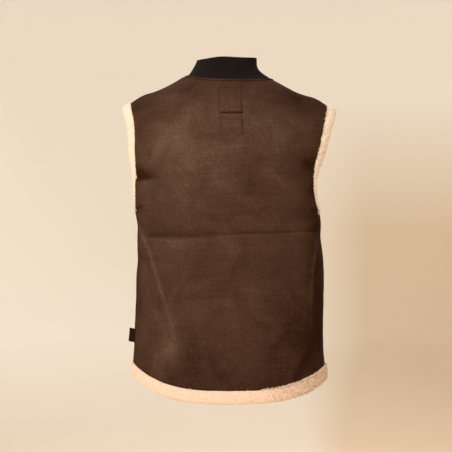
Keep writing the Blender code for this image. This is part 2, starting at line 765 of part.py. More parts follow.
def build_zip(sheets):
    """Tapes behind the fronts, with a row of teeth standing between their edges."""
    for side, name in ((1, "front_left"), (-1, "front_right")):
        word = name.split("_")[1]
        sheet, normals = sheets[name]
        edge, out, tape_edge = sheet[:, 0], normals[:, 0], sheet[:, 1]
        near = edge.copy()
        near[:, 0] = side * GAP / 2
        tape_out = normals[:, 1]
        under = WALL + GAP
        tape = np.stack(
            [near - out * under, edge - out * under, tape_edge - tape_out * under], axis=1
        )
        back = np.stack(
            [
                near - out * (under + TAPE_WALL),
                edge - out * (under + TAPE_WALL),
                tape_edge - tape_out * (under + TAPE_WALL),
            ],
            axis=1,
        )
        wall_between("zip_tape_" + word, tape, back, "zip_tape")
        rings = []
        for point, normal in zip(near, out):
            ring = []
            for x, sunk in (
                (GAP / 2, TEETH_SUNK),
                (TEETH_EDGE, TEETH_SUNK),
                (TEETH_EDGE, WALL),
                (GAP / 2, WALL),
            ):
                place = point - normal * sunk
                place[0] = side * x
                ring.append(place)
            rings.append(ring)
        loft("zip_teeth_" + word, rings, "zip_metal")


class ZipFrame:
    """Place and directions of the slider on the middle line of the front."""

    def __init__(self, sheets):
        sheet, normals = sheets["front_left"]
        line, out = sheet[:, 0], normals[:, 0]
        drops = line[0, 2] - line[:, 2]
        i = int(np.searchsorted(drops, SLIDER_DROP))
        share = (SLIDER_DROP - drops[i - 1]) / (drops[i] - drops[i - 1])
        centre = line[i - 1] * (1 - share) + line[i] * share
        self.centre = centre * np.array((0.0, 1.0, 1.0))
        self.up = unit((line[i - 2] - line[i + 1]) * np.array((0.0, 1.0, 1.0)))
        self.out = unit(np.cross(self.up, (1.0, 0.0, 0.0)))
        if self.out[1] > 0:
            self.out = -self.out

    def at(self, across, up, out):
        return self.centre + np.array((across, 0.0, 0.0)) + self.up * up + self.out * out


def box_body(bm, frame, across, up, out):
    """Adds a box between two values each way in the slider's frame."""
    corners = [bm.verts.new(frame.at(x, u, o)) for x in across for u in up for o in out]
    faces = ((0, 1, 3, 2), (4, 6, 7, 5), (0, 4, 5, 1), (2, 3, 7, 6), (0, 2, 6, 4), (1, 5, 7, 3))
    for face in faces:
        bm.faces.new([corners[k] for k in face])


def prism(bm, frame, outline, half):
    """Adds a flat outline of (up, out) points, as thick as twice half across."""
    sides = [[bm.verts.new(frame.at(x, u, o)) for u, o in outline] for x in (-half, half)]
    for side in sides:
        bm.faces.new(side)
    count = len(outline)
    for k in range(count):
        m = (k + 1) % count
        bm.faces.new((sides[0][k], sides[0][m], sides[1][m], sides[1][k]))


def build_slider(sheets):
    """Slider plate with a bridge for the pull, cut from one outline and joined to the plate."""
    frame = ZipFrame(sheets)
    plate = SLIDER_LIFT + SLIDER_SIZE[2]
    roof = plate + BRIDGE_HOLE + BRIDGE_BAR
    foot = plate - SLIDER_SIZE[2] / 2
    hole = plate + BRIDGE_HOLE
    outline = (
        (-BRIDGE_HALF, foot),
        (-BRIDGE_HALF, roof - BRIDGE_BAR),
        (-BRIDGE_HOLE_HALF, roof),
        (BRIDGE_HOLE_HALF, roof),
        (BRIDGE_HALF, roof - BRIDGE_BAR),
        (BRIDGE_HALF, foot),
        (BRIDGE_HOLE_HALF, foot),
        (BRIDGE_HOLE_HALF, hole),
        (-BRIDGE_HOLE_HALF, hole),
        (-BRIDGE_HOLE_HALF, foot),
    )
    bm = bmesh.new()
    half_x, half_up = SLIDER_SIZE[0] / 2, SLIDER_SIZE[1] / 2
    box_body(bm, frame, (-half_x, half_x), (-half_up, half_up), (SLIDER_LIFT, plate))
    slider = finish_object("zip_slider", bm, "zip_metal")
    bm = bmesh.new()
    prism(bm, frame, outline, BRIDGE_WIDTH / 2)
    bridge = finish_object("zip_bridge", bm, "zip_metal")
    bridge.hide_render = True
    bridge.display_type = "WIRE"
    join = slider.modifiers.new("join_bridge", "BOOLEAN")
    join.operation = "UNION"
    join.object = bridge
    return frame, plate + BRIDGE_HOLE / 2


def build_pull(frame, axle):
    """Pull tab: a tapered plate whose slotted end goes round the bridge, its origin on the axle."""
    half = PULL_BAR / 2
    end = half - PULL_LENGTH
    slot_top = -half
    slot_end = -half - PULL_SLOT
    outer = (
        (-PULL_HALF_TOP, half),
        (PULL_HALF_TOP, half),
        (PULL_HALF_END, end * PULL_TAPER_FROM),
        (PULL_HALF_END * PULL_TIP, end),
        (-PULL_HALF_END * PULL_TIP, end),
        (-PULL_HALF_END, end * PULL_TAPER_FROM),
    )
    slot = (
        (-PULL_SLOT_HALF, slot_top),
        (PULL_SLOT_HALF, slot_top),
        (PULL_SLOT_HALF, slot_end),
        (-PULL_SLOT_HALF, slot_end),
    )
    bm = bmesh.new()
    sides = []
    for out in (axle - half, axle + half):
        rims = [[bm.verts.new(frame.at(x, u, out)) for x, u in shape] for shape in (outer, slot)]
        edges = [
            bm.edges.new((rim[k], rim[(k + 1) % len(rim)])) for rim in rims for k in range(len(rim))
        ]
        bmesh.ops.triangle_fill(bm, edges=edges, use_beauty=True)
        sides.append(rims)
    for low, high in zip(*sides):
        for k in range(len(low)):
            m = (k + 1) % len(low)
            bm.faces.new((low[k], low[m], high[m], high[k]))
    pivot = Vector(frame.at(0.0, 0.0, axle))
    bmesh.ops.translate(bm, verts=bm.verts, vec=-pivot)
    pull = finish_object("zip_pull", bm, "zip_metal")
    pull.location = pivot


def build_side_tab(sheets):
    """Small folded tab whose root is caught in the wearer's left side seam."""
    sheet = sheets["back_panel"][0]
    column = sheet[ARMHOLE_ROWS:, -1]
    order = np.argsort(column[:, 2])
    section = ((0.0, 0.5), (0.5, 0.5), (1.0, 0.5), (1.0, -0.5), (0.5, -0.5), (0.0, -0.5))
    rings = []
    for i in range(TAB_ROWS + 1):
        z = TAB_TOP_Z - TAB_HEIGHT * i / TAB_ROWS
        root = np.interp(z, column[order, 2], column[order, 0]) + GAP
        ring = []
        for share, lift in section:
            x = root + (TAB_REACH + TAB_SLANT * i / TAB_ROWS) * share
            y = SIDE_SEAM_Y + TAB_WALL * lift - TAB_BEND * share * share
            ring.append((x, y, z + TAB_RISE * share))
        rings.append(ring)
    loft("side_tab", rings, "tab_cloth")


def main():
    for old in list(bpy.context.scene.objects):
        bpy.data.objects.remove(old, do_unlink=True)
    sheets = make_sheets()
    open_seams(sheets)
    build_panels(sheets)
    build_hem_bands(sheets)
    build_armhole_bands(sheets)
    build_collar(sheets)
    build_zip(sheets)
    frame, axle = build_slider(sheets)
    build_pull(frame, axle)
    build_side_tab(sheets)


main()
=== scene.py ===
"""Dresses a suede gilet: brushed suede panels bonded to curly fleece, fleece edges, a ribbed
knit stand collar, a metal zip, stitching and a blank side tab, in soft studio light.

Everything is in metres, front to -Y and up to +Z, with +X on the wearer's left.
"""

import logging
import math
from collections.abc import Sequence
from dataclasses import dataclass
from enum import Enum

import bmesh
import bpy
import numpy as np
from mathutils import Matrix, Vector, noise
from mathutils.bvhtree import BVHTree
from mathutils.kdtree import KDTree


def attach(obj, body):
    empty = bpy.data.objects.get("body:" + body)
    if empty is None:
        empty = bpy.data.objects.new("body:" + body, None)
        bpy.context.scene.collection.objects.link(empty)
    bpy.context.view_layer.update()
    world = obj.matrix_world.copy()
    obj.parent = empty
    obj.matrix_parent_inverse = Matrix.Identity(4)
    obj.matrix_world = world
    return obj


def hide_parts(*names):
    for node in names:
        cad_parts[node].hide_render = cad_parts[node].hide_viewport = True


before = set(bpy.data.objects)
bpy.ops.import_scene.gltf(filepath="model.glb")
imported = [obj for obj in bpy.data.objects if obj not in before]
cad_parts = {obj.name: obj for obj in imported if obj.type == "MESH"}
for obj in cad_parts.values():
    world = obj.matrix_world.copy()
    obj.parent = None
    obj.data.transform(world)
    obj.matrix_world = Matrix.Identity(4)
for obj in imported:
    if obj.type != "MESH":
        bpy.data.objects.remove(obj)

LOG = logging.getLogger("gilet")
GARMENT = "gilet"
# Depth of the side seams, and how far the gilet reaches from there
SEAM_Y = -0.015
HALF_WIDE = 0.2
HALF_DEEP = 0.11
# Above this height the cloth turns up over the shoulders
SHOULDER_Z = -0.12
SHOULDER_RISE = 0.08
# Edges that turn by more than these angles are creased, on panels and on soft strips
SHARP = math.radians(50)
SOFT_SHARP = math.radians(75)
# Points closer than this are merged
MERGE = 0.00002
# Width of the raised strip below the collar's seam, and the bounds it lies within
STRIP = 0.0058
NECK_REACH = 0.02
NECK_LOW = -0.11
NECK_WIDE = 0.13
# Lines of stitching beside the zip
ZIP_STITCH_X = (0.0105, -0.0105)
Triple = tuple[float, float, float]
Colour = Triple
Box = tuple[Triple, Triple]


class Facing(Enum):
    """Side of the garment, as its direction along Y."""

    BACK = 1.0
    FRONT = -1.0


class Layer(Enum):
    """Material slots of a bonded panel."""

    SUEDE = 0
    LINING = 1
    EDGE = 2


class Form(Enum):
    """Forms that a line pressed or worn into the suede can take."""

    RIDGE = 1
    TUCK = 2
    GROOVE = 3


# Meshes


def only(piece: bpy.types.Object) -> None:
    """Deselects everything and makes one piece selected and active.

    Args:
        piece: The object that the next operator works on.
    """
    for other in bpy.context.selected_objects:
        other.select_set(False)
    piece.select_set(True)
    bpy.context.view_layer.objects.active = piece


def points_of(piece: bpy.types.Object) -> np.ndarray:
    """Reads a mesh's points.

    Args:
        piece: A mesh object at the origin.

    Returns:
        One row of x, y and z for each vertex.
    """
    flat = np.zeros(len(piece.data.vertices) * 3)
    piece.data.vertices.foreach_get("co", flat)
    return flat.reshape(-1, 3)


def normals_of(piece: bpy.types.Object) -> np.ndarray:
    """Reads a mesh's vertex normals.

    Args:
        piece: A mesh object.

    Returns:
        One unit vector for each vertex.
    """
    flat = np.zeros(len(piece.data.vertices) * 3, np.float32)
    piece.data.vertices.foreach_get("normal", flat)
    return flat.reshape(-1, 3).astype(float)


def move_points(piece: bpy.types.Object, points: np.ndarray) -> None:
    """Writes new places for a mesh's points.

    Args:
        piece: A mesh object.
        points: One row for each vertex.
    """
    piece.data.vertices.foreach_set("co", points.astype(np.float32).ravel())
    piece.data.update()


def store(piece: bpy.types.Object, name: str, values: np.ndarray) -> None:
    """Keeps one number for each vertex as a named attribute, for a material to read.

    Args:
        piece: A mesh object.
        name: The attribute's name.
        values: One number for each vertex.
    """
    attribute = piece.data.attributes.new(name, "FLOAT", "POINT")
    attribute.data.foreach_set("value", values.astype(np.float32))


def cloth_copy(node: str, name: str) -> bpy.types.Object:
    """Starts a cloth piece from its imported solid: a merged copy with quads.

    Args:
        node: The solid's name.
        name: The new piece's name.

    Returns:
        The copy, which replaces the solid.
    """
    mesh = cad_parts[node].data.copy()
    mesh.materials.clear()
    piece = bpy.data.objects.new(name, mesh)
    bpy.context.scene.collection.objects.link(piece)
    only(piece)
    bpy.ops.object.mode_set(mode="EDIT")
    bpy.ops.mesh.select_all(action="SELECT")
    bpy.ops.mesh.customdata_custom_splitnormals_clear()
    bpy.ops.mesh.remove_doubles(threshold=MERGE)
    flat = math.radians(70)
    bpy.ops.mesh.tris_convert_to_quads(face_threshold=flat, shape_threshold=flat)
    bpy.ops.object.mode_set(mode="OBJECT")
    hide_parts(node)
    return piece


def crease_sharp(piece: bpy.types.Object, angle: float = SHARP) -> None:
    """Creases the edges that stay sharp when the mesh is subdivided.

    Args:
        piece: A mesh object.
        angle: Edges between faces that turn by more than this are creased.
    """
    bm = bmesh.new()
    bm.from_mesh(piece.data)
    layer = bm.edges.layers.float.new("crease_edge")
    for edge in bm.edges:
        if len(edge.link_faces) == 2 and edge.calc_face_angle() > angle:
            edge[layer] = 1.0
    bm.to_mesh(piece.data)
    bm.free()


def faces_between_creases(piece: bpy.types.Object) -> np.ndarray:
    """Numbers the groups of faces that creased edges part from each other.

    Args:
        piece: A mesh object with creases.

    Returns:
        The number of each face's group.
    """
    bm = bmesh.new()
    bm.from_mesh(piece.data)
    layer = bm.edges.layers.float["crease_edge"]
    groups = np.full(len(bm.faces), -1)
    for start in bm.faces:
        if groups[start.index] >= 0:
            continue
        number = groups.max() + 1
        groups[start.index] = number
        waiting = [start]
        while waiting:
            for edge in waiting.pop().edges:
                for face in edge.link_faces:
                    if edge[layer] < 0.5 and groups[face.index] < 0:
                        groups[face.index] = number
                        waiting.append(face)
    bm.free()
    return groups


def subdivide(piece: bpy.types.Object, levels: int) -> None:
    """Subdivides a mesh smoothly and keeps the result, without shrinking the piece.

    The points are first moved out by as much as the smoothing would draw them in.

    Args:
        piece: A mesh object.
        levels: How many times each face is split in four.
    """
    only(piece)
    modifier = piece.modifiers.new("smooth", "SUBSURF")
    modifier.levels = modifier.render_levels = levels
    modifier.uv_smooth = "NONE"
    before = points_of(piece)
    smoothed = piece.evaluated_get(bpy.context.evaluated_depsgraph_get())
    drawn = points_of(smoothed)[: len(before)]
    move_points(piece, 2 * before - drawn)
    bpy.ops.object.modifier_apply(modifier=modifier.name)


def split(piece: bpy.types.Object, kind: str, chosen: np.ndarray, cuts: int = 1) -> None:
    """Splits chosen faces or edges of a mesh evenly.

    Args:
        piece: A mesh object.
        kind: "FACE" or "EDGE".
        chosen: True for each face or edge to split.
        cuts: New points on each edge.
    """
    only(piece)
    bpy.ops.object.mode_set(mode="EDIT")
    bpy.ops.mesh.select_mode(type=kind)
    bpy.ops.mesh.select_all(action="DESELECT")
    bpy.ops.object.mode_set(mode="OBJECT")
    parts = piece.data.polygons if kind == "FACE" else piece.data.edges
    parts.foreach_set("select", chosen)
    bpy.ops.object.mode_set(mode="EDIT")
    bpy.ops.mesh.subdivide(number_cuts=cuts, smoothness=0.0)
    bpy.ops.object.mode_set(mode="OBJECT")


def cut_across(cuts: Sequence[float]) -> None:
    """Cuts the active mesh level.

    Args:
        cuts: Heights of the cuts.
    """
    bpy.ops.object.mode_set(mode="EDIT")
    for cut in cuts:
        bpy.ops.mesh.select_all(action="SELECT")
        bpy.ops.mesh.bisect(plane_co=(0.0, 0.0, cut), plane_no=(0.0, 0.0, 1.0))
    bpy.ops.object.mode_set(mode="OBJECT")


def rod(sides: int, radius: float, cuts: Sequence[float]) -> bpy.types.Object:
    """Makes an upright rod, 1 long from the origin up.

    Args:
        sides: Number of its sides.
        radius: Its radius.
        cuts: Heights at which it is cut level.

    Returns:
        The rod, active.
    """
    bpy.ops.object.select_all(action="DESELECT")
    bpy.ops.mesh.primitive_cylinder_add(
        vertices=sides, radius=radius, depth=1.0, location=(0.0, 0.0, 0.5)
    )
    bpy.ops.object.transform_apply(location=True, rotation=False, scale=False)
    cut_across(cuts)
    return bpy.context.object


def distances(places: np.ndarray) -> np.ndarray:
    """Measures along a path.

    Args:
        places: The path's places, in order.

    Returns:
        Distance of each place from the first.
    """
    return np.concatenate([[0.0], np.cumsum(np.linalg.norm(np.diff(places, axis=0), axis=1))])


def along(places: np.ndarray, marks: np.ndarray) -> np.ndarray:
    """Finds places at given distances along a path.

    Args:
        places: The path's places, in order.
        marks: The distances.

    Returns:
        One row for each distance.
    """
    steps = distances(places)
    return np.stack([np.interp(marks, steps, column) for column in places.T], axis=1)


def evenly(places: np.ndarray, pitch: float) -> np.ndarray:
    """Spaces places evenly along a path.

    Args:
        places: The path's places, in order.
        pitch: Distance between places, about.

    Returns:
        One row for each new place.
    """
    length = distances(places)[-1]
    return along(places, np.linspace(0.0, length, max(2, int(length / pitch)) + 1))


def face_values(piece: bpy.types.Object, key: str, width: int) -> np.ndarray:
    """Reads one value for each face.

    Args:
        piece: A mesh object.
        key: Property of a polygon, such as "center".
        width: How many numbers it has.

    Returns:
        One row for each face, or one number where width is 1.
    """
    kind = np.int32 if key == "material_index" else np.float32
    flat = np.zeros(len(piece.data.polygons) * width, kind)
    piece.data.polygons.foreach_get(key, flat)
    return flat if width == 1 else flat.reshape(-1, width)


def outward(points: np.ndarray) -> np.ndarray:
    """Rough direction away from the wearer at each place.

    Args:
        points: Places on the garment.

    Returns:
        One unit vector for each place.
    """
    across = points[:, 0] / HALF_WIDE**2
    deep = (points[:, 1] - SEAM_Y) / HALF_DEEP**2
    up = np.clip(points[:, 2] - SHOULDER_Z, 0.0, None) / SHOULDER_RISE**2
    ways = np.stack([across, deep, up], axis=1)
    return ways / np.maximum(np.linalg.norm(ways, axis=1, keepdims=True), 1e-9)


def rolling(points: np.ndarray, size: float, seed: float) -> np.ndarray:
    """Smooth uneven heights over a surface.

    Args:
        points: Places on the surface.
        size: Distance over which the height changes.
        seed: Shifts the pattern, so that no two pieces share one.

    Returns:
        A height from about -1 to 1 for each place.
    """
    shift = Vector((seed, seed * 1.7, seed * 0.6))
    return np.array([noise.noise(Vector(p) / size + shift) for p in points])


def curls(points: np.ndarray, size: float, seed: float) -> np.ndarray:
    """Heights of the rounded lumps that curly pile makes.

    Args:
        points: Places on the surface.
        size: Distance between lumps.
        seed: Shifts the pattern.

    Returns:
        A height from 0 between lumps to 1 on their tops for each place.
    """
    shift = Vector((seed, seed * 0.3, seed * 1.9))
    nearest = [noise.voronoi(Vector(place) / size + shift)[0] for place in points]
    heights = np.array([near[1] - near[0] for near in nearest])
    return np.sqrt(np.clip(heights * 1.5, 0.0, 1.0))


def smooth_shade(piece: bpy.types.Object, angle: float | None = None) -> None:
    """Shades a piece smoothly, but for edges sharper than an angle.

    Args:
        piece: A mesh object.
        angle: Edges that turn by more than this stay sharp, or None for no sharp edge.
    """
    only(piece)
    if angle is None:
        bpy.ops.object.shade_smooth()
    else:
        bpy.ops.object.shade_smooth_by_angle(angle=angle)


def near_points(points: np.ndarray) -> KDTree:
    """Makes a search tree of places.

    Args:
        points: The places.

    Returns:
        A balanced tree of them.
    """
    tree = KDTree(len(points))
    for i, place in enumerate(points):
        tree.insert(place, i)
    tree.balance()
    return tree


# Lines and patches in the suede from wear and sewing, with painted light and shade along them

# A tuck's reach on its under side, and the lip there, as shares of the tuck's width
TUCK_UNDER = 0.30
LIP_PLACE = 0.6
LIP_WIDTH = 0.5
# The lip's rise and painted highlight, as shares of the tuck's rise and tone
LIP_RISE = 0.5
LIP_HIGHLIGHT = 0.35


@dataclass(frozen=True)
class Mark:
    """A line in the suede, in the plane of the back or front: a tuck, ridge or groove.

    Each point of its path has x, z and the share of the line's strength there. A ridge with a
    height below zero is a hollow. Its tone paints shade along a fold, hollow or groove, and light
    on a crest or on a tuck's lip.
    """

    form: Form
    path: tuple[tuple[float, float, float], ...]
    width: float
    height: float
    tone: float = 0.0

    def relief(self, x: np.ndarray, z: np.ndarray) -> tuple[np.ndarray, np.ndarray]:
        """Heights and tones that the line gives to places.

        Args:
            x: Distances from the middle line.
            z: Heights up the garment.

        Returns:
            How far each place stands out, and how much lighter it is painted: shade along the line,
            light on a crest or a lip.
        """
        off = np.full(x.shape, np.inf)
        strength = np.zeros(x.shape)
        below = np.zeros(x.shape, bool)
        for (x0, z0, s0), (x1, z1, s1) in zip(self.path, self.path[1:]):
            run = np.array((x1 - x0, z1 - z0))
            along = np.clip(((x - x0) * run[0] + (z - z0) * run[1]) / float(run @ run), 0, 1)
            side = np.stack([x - x0 - along * run[0], z - z0 - along * run[1]])
            distance = np.hypot(*side)
            nearer = distance < off
            off = np.where(nearer, distance, off)
            strength = np.where(nearer, s0 + (s1 - s0) * along, strength)
            below = np.where(nearer, side[1] < 0, below)
        # The tone paints shade along the line and, for a tuck, light on the lip below it
        if self.form is not Form.TUCK:
            share = strength * np.exp(-((off / self.width) ** 2))
            return share * self.height, share * self.tone
        reach = np.where(below, self.width * TUCK_UNDER, self.width)
        share = strength * np.exp(-((off / reach) ** 2))
        from_lip = (off - self.width * LIP_PLACE) / (self.width * LIP_WIDTH)
        lip = strength * np.exp(-(from_lip**2)) * below
        return self.height * (lip * LIP_RISE - share), self.tone * (lip * LIP_HIGHLIGHT - share)


@dataclass(frozen=True)
class Patch:
    """A soft patch of lighter or darker colour: worn nap in some, painted light and shade in
    others.
    """

    x: float
    z: float
    wide: float
    tall: float
    tone: float

    def tones(self, x: np.ndarray, z: np.ndarray) -> np.ndarray:
        """Tones that the patch gives to places.

        Args:
            x: Distances from the middle line.
            z: Heights up the garment.

        Returns:
            How much lighter each place is.
        """
        off = ((x - self.x) / self.wide) ** 2 + ((z - self.z) / self.tall) ** 2
        return self.tone * np.exp(-off)


RIDGE, TUCK, GROOVE = Form.RIDGE, Form.TUCK, Form.GROOVE
# Each mark: its form, path, width, height and tone, the tone being painted shade along folds,
# hollows and grooves and painted light on crests and lips
BACK_MARKS: tuple[Mark, ...] = (
    # The fold across the back, in two parts that meet near the middle, with painted shade along it
    # and painted light on its lip
    Mark(
        TUCK,
        (
            (0.184, -0.3440, 0.0), (0.164, -0.3445, 0.9), (0.114, -0.3450, 1.0),
            (0.070, -0.3440, 0.9), (0.036, -0.3425, 0.5), (0.005, -0.3410, 0.0),
        ),
        0.0110, 0.0018, 0.42,
    ),
    Mark(
        TUCK,
        (
            (0.052, -0.3412, 0.0), (0.010, -0.3402, 0.7), (-0.044, -0.3390, 1.0),
            (-0.118, -0.3362, 0.9), (-0.187, -0.3336, 0.8),
        ),
        0.0050, 0.0012, 0.36,
    ),
    # A ridge down each side, lighter along its crest: partly worn nap, partly painted light
    Mark(
        RIDGE,
        (
            (0.194, -0.322, 0.0), (0.1915, -0.329, 0.7), (0.168, -0.382, 0.9),
            (0.151, -0.437, 1.0), (0.1395, -0.4746, 1.0), (0.1286, -0.504, 0.6),
            (0.116, -0.541, 0.3), (0.111, -0.575, 0.0),
        ),
        0.0040, 0.0014, 0.42,
    ),
    Mark(
        RIDGE,
        (
            (-0.1925, -0.330, 0.0), (-0.1915, -0.353, 0.8), (-0.182, -0.395, 1.0),
            (-0.175, -0.459, 1.0), (-0.1745, -0.497, 0.5), (-0.176, -0.540, 0.0),
        ),
        0.0034, 0.0013, 0.42,
    ),
    # The hollow low on the wearer's right, with painted shade in it
    Mark(
        RIDGE,
        (
            (-0.204, -0.545, 0.0), (-0.197, -0.561, 0.8), (-0.177, -0.588, 1.0),
            (-0.163, -0.611, 1.0), (-0.141, -0.643, 0.9),
        ),
        0.0090, -0.0018, -0.50,
    ),
    # Folds that run in from the armholes, with painted shade in them
    Mark(
        TUCK,
        (
            (0.203, -0.2198, 1.0), (0.180, -0.2205, 1.0), (0.163, -0.2200, 0.6),
            (0.150, -0.2170, 0.0),
        ),
        0.0160, 0.0024, 0.75,
    ),
    Mark(
        RIDGE,
        ((-0.195, -0.196, 1.0), (-0.175, -0.193, 0.9), (-0.146, -0.189, 0.0)),
        0.0100, -0.0016, -0.55,
    ),
    Mark(RIDGE, ((-0.192, -0.247, 1.0), (-0.155, -0.246, 0.0)), 0.0080, -0.0012, -0.45),
    Mark(RIDGE, ((-0.198, -0.134, 1.0), (-0.152, -0.137, 0.0)), 0.0090, -0.0008, -0.25),
    # Faint level creases, with painted shade along them
    Mark(
        TUCK,
        (
            (0.158, -0.2160, 0.0), (0.120, -0.2150, 1.0), (-0.100, -0.2140, 1.0),
            (-0.150, -0.2135, 0.0),
        ),
        0.0022, 0.0004, 0.14,
    ),
    Mark(
        TUCK,
        (
            (0.030, -0.2570, 0.0), (0.000, -0.2575, 1.0), (-0.120, -0.2575, 1.0),
            (-0.155, -0.257, 0.0),
        ),
        0.0022, 0.0003, 0.11,
    ),
    Mark(
        TUCK,
        (
            (0.070, -0.3950, 0.0), (0.020, -0.3960, 1.0), (-0.100, -0.3960, 0.8),
            (-0.135, -0.395, 0.0),
        ),
        0.0022, 0.0003, 0.12,
    ),
    Mark(
        TUCK,
        (
            (0.140, -0.4745, 0.0), (0.100, -0.4742, 1.0), (0.020, -0.4738, 0.8),
            (-0.010, -0.4735, 0.0),
        ),
        0.0022, 0.0003, 0.10,
    ),
    Mark(
        RIDGE,
        (
            (-0.050, -0.4630, 0.0), (-0.080, -0.4635, 1.0), (-0.150, -0.4645, 1.0),
            (-0.175, -0.465, 0.0),
        ),
        0.0024, 0.0003, 0.14,
    ),
)
RECTANGLE_MARKS: tuple[Mark, ...] = (
    # Upper rectangle: its sides, top and bottom, with painted shade in the grooves
    Mark(GROOVE, ((0.0213, -0.0290, 0.8), (0.0195, -0.0843, 1.0)), 0.0016, -0.0008, -0.44),
    Mark(GROOVE, ((-0.0262, -0.0290, 0.8), (-0.0272, -0.0843, 1.0)), 0.0017, -0.0009, -0.52),
    Mark(GROOVE, ((0.0205, -0.0290, 1.0), (-0.0262, -0.0288, 1.0)), 0.0016, -0.0004, -0.20),
    Mark(
        GROOVE,
        ((0.0190, -0.0843, 0.3), (0.0120, -0.0843, 1.0), (-0.0265, -0.0841, 0.9)),
        0.0019, -0.0018, -1.05,
    ),
    # Lower rectangle: its sides and top, with painted shade in the grooves
    Mark(GROOVE, ((0.0185, -0.0900, 0.7), (0.0160, -0.1310, 0.5)), 0.0019, -0.0007, -0.50),
    Mark(GROOVE, ((-0.0272, -0.0986, 1.0), (-0.0280, -0.1290, 0.6)), 0.0017, -0.0010, -0.62),
    Mark(GROOVE, ((0.0178, -0.0986, 1.0), (-0.0275, -0.0984, 1.0)), 0.0016, -0.0003, -0.12),
)
FRONT_MARKS: tuple[Mark, ...] = (
    # Folds at the waist, with painted shade along them
    Mark(
        TUCK,
        ((0.175, -0.3500, 0.9), (0.120, -0.3470, 1.0), (0.050, -0.3440, 0.0)),
        0.0080, 0.0014, 0.38,
    ),
    Mark(
        TUCK,
        ((-0.178, -0.3430, 0.9), (-0.120, -0.3480, 1.0), (-0.055, -0.3530, 0.0)),
        0.0080, 0.0014, 0.38,
    ),
    # A ridge down each side, lighter along its crest: partly worn nap, partly painted light
    Mark(
        RIDGE,
        ((0.180, -0.370, 0.0), (0.170, -0.410, 1.0), (0.146, -0.520, 0.8), (0.138, -0.570, 0.0)),
        0.0050, 0.0012, 0.32,
    ),
    Mark(
        RIDGE,
        (
            (-0.180, -0.385, 0.0), (-0.172, -0.420, 1.0), (-0.154, -0.500, 0.8),
            (-0.148, -0.560, 0.0),
        ),
        0.0050, 0.0012, 0.32,
    ),
    # Folds below the armholes, with painted shade along them
    Mark(TUCK, ((0.180, -0.2320, 1.0), (0.130, -0.2420, 0.0)), 0.0090, 0.0015, 0.45),
    Mark(TUCK, ((-0.180, -0.2280, 1.0), (-0.130, -0.2400, 0.0)), 0.0090, 0.0015, 0.45),
    # Faint level creases, with painted shade along them
    Mark(
        TUCK,
        ((0.130, -0.4690, 0.0), (0.080, -0.471, 1.0), (0.030, -0.472, 0.0)),
        0.0024, 0.0003, 0.12,
    ),
    Mark(
        TUCK,
        ((-0.030, -0.4200, 0.0), (-0.080, -0.422, 1.0), (-0.130, -0.424, 0.0)),
        0.0024, 0.0003, 0.12,
    ),
    # Grooves of the stitching beside the zip, with painted shade in them
    *(
        Mark(GROOVE, ((x, -0.080, 1.0), (x, -0.640, 1.0)), 0.0013, -0.0006, -0.30)
        for x in ZIP_STITCH_X
    ),
)
# Each patch: its x and z, its reach across and up, and its tone
BACK_PATCHES: tuple[Patch, ...] = (
    # Lighter over both shoulder blades and across the middle of the back: partly worn nap, partly
    # painted light
    Patch(0.110, -0.130, 0.070, 0.090, 0.46),
    Patch(-0.085, -0.130, 0.075, 0.075, 0.28),
    Patch(0.100, -0.235, 0.110, 0.075, 0.22),
    # Painted light just below the crease and at the waist
    Patch(0.105, -0.365, 0.080, 0.026, 0.28),
    Patch(-0.070, -0.360, 0.080, 0.030, 0.16),
    Patch(-0.090, -0.450, 0.060, 0.070, 0.12),
    # The worn place low on the wearer's left
    Patch(0.118, -0.580, 0.026, 0.030, 0.55),
    Patch(0.125, -0.535, 0.030, 0.050, 0.26),
    # Paler inside the upper stitched rectangle
    Patch(0.004, -0.088, 0.040, 0.064, 0.24),
    # Painted shade along both side seams, where the back turns away
    Patch(0.204, -0.470, 0.014, 0.170, -0.35),
    Patch(-0.190, -0.430, 0.026, 0.190, -0.45),
    # Painted shade in the folds beside the armholes
    Patch(0.190, -0.215, 0.030, 0.022, -0.38),
    Patch(-0.180, -0.215, 0.034, 0.060, -0.32),
    # Painted shade over the shoulders and beside the collar
    Patch(0.180, -0.066, 0.052, 0.026, -0.36),
    Patch(-0.165, -0.060, 0.060, 0.030, -0.42),
    Patch(-0.090, -0.036, 0.050, 0.024, -0.28),
    Patch(0.085, -0.034, 0.045, 0.018, -0.20),
    # Painted shade low on the wearer's right and above the hem, and darker beside the worn place
    Patch(-0.150, -0.550, 0.080, 0.140, -0.42),
    Patch(0.072, -0.600, 0.042, 0.080, -0.38),
    Patch(0.010, -0.655, 0.170, 0.036, -0.30),
)
FRONT_PATCHES: tuple[Patch, ...] = (
    # Worn over the chest, at the waist and low down
    Patch(0.090, -0.130, 0.060, 0.090, 0.28),
    Patch(-0.080, -0.150, 0.060, 0.080, 0.26),
    Patch(0.110, -0.390, 0.060, 0.040, 0.25),
    Patch(-0.120, -0.560, 0.040, 0.060, 0.35),
    Patch(0.120, -0.580, 0.040, 0.050, 0.35),
    # Painted shade beside the armholes and above the hem
    Patch(0.180, -0.220, 0.030, 0.060, -0.35),
    Patch(-0.180, -0.220, 0.030, 0.060, -0.35),
    Patch(0.000, -0.640, 0.180, 0.040, -0.30),
)


# Materials


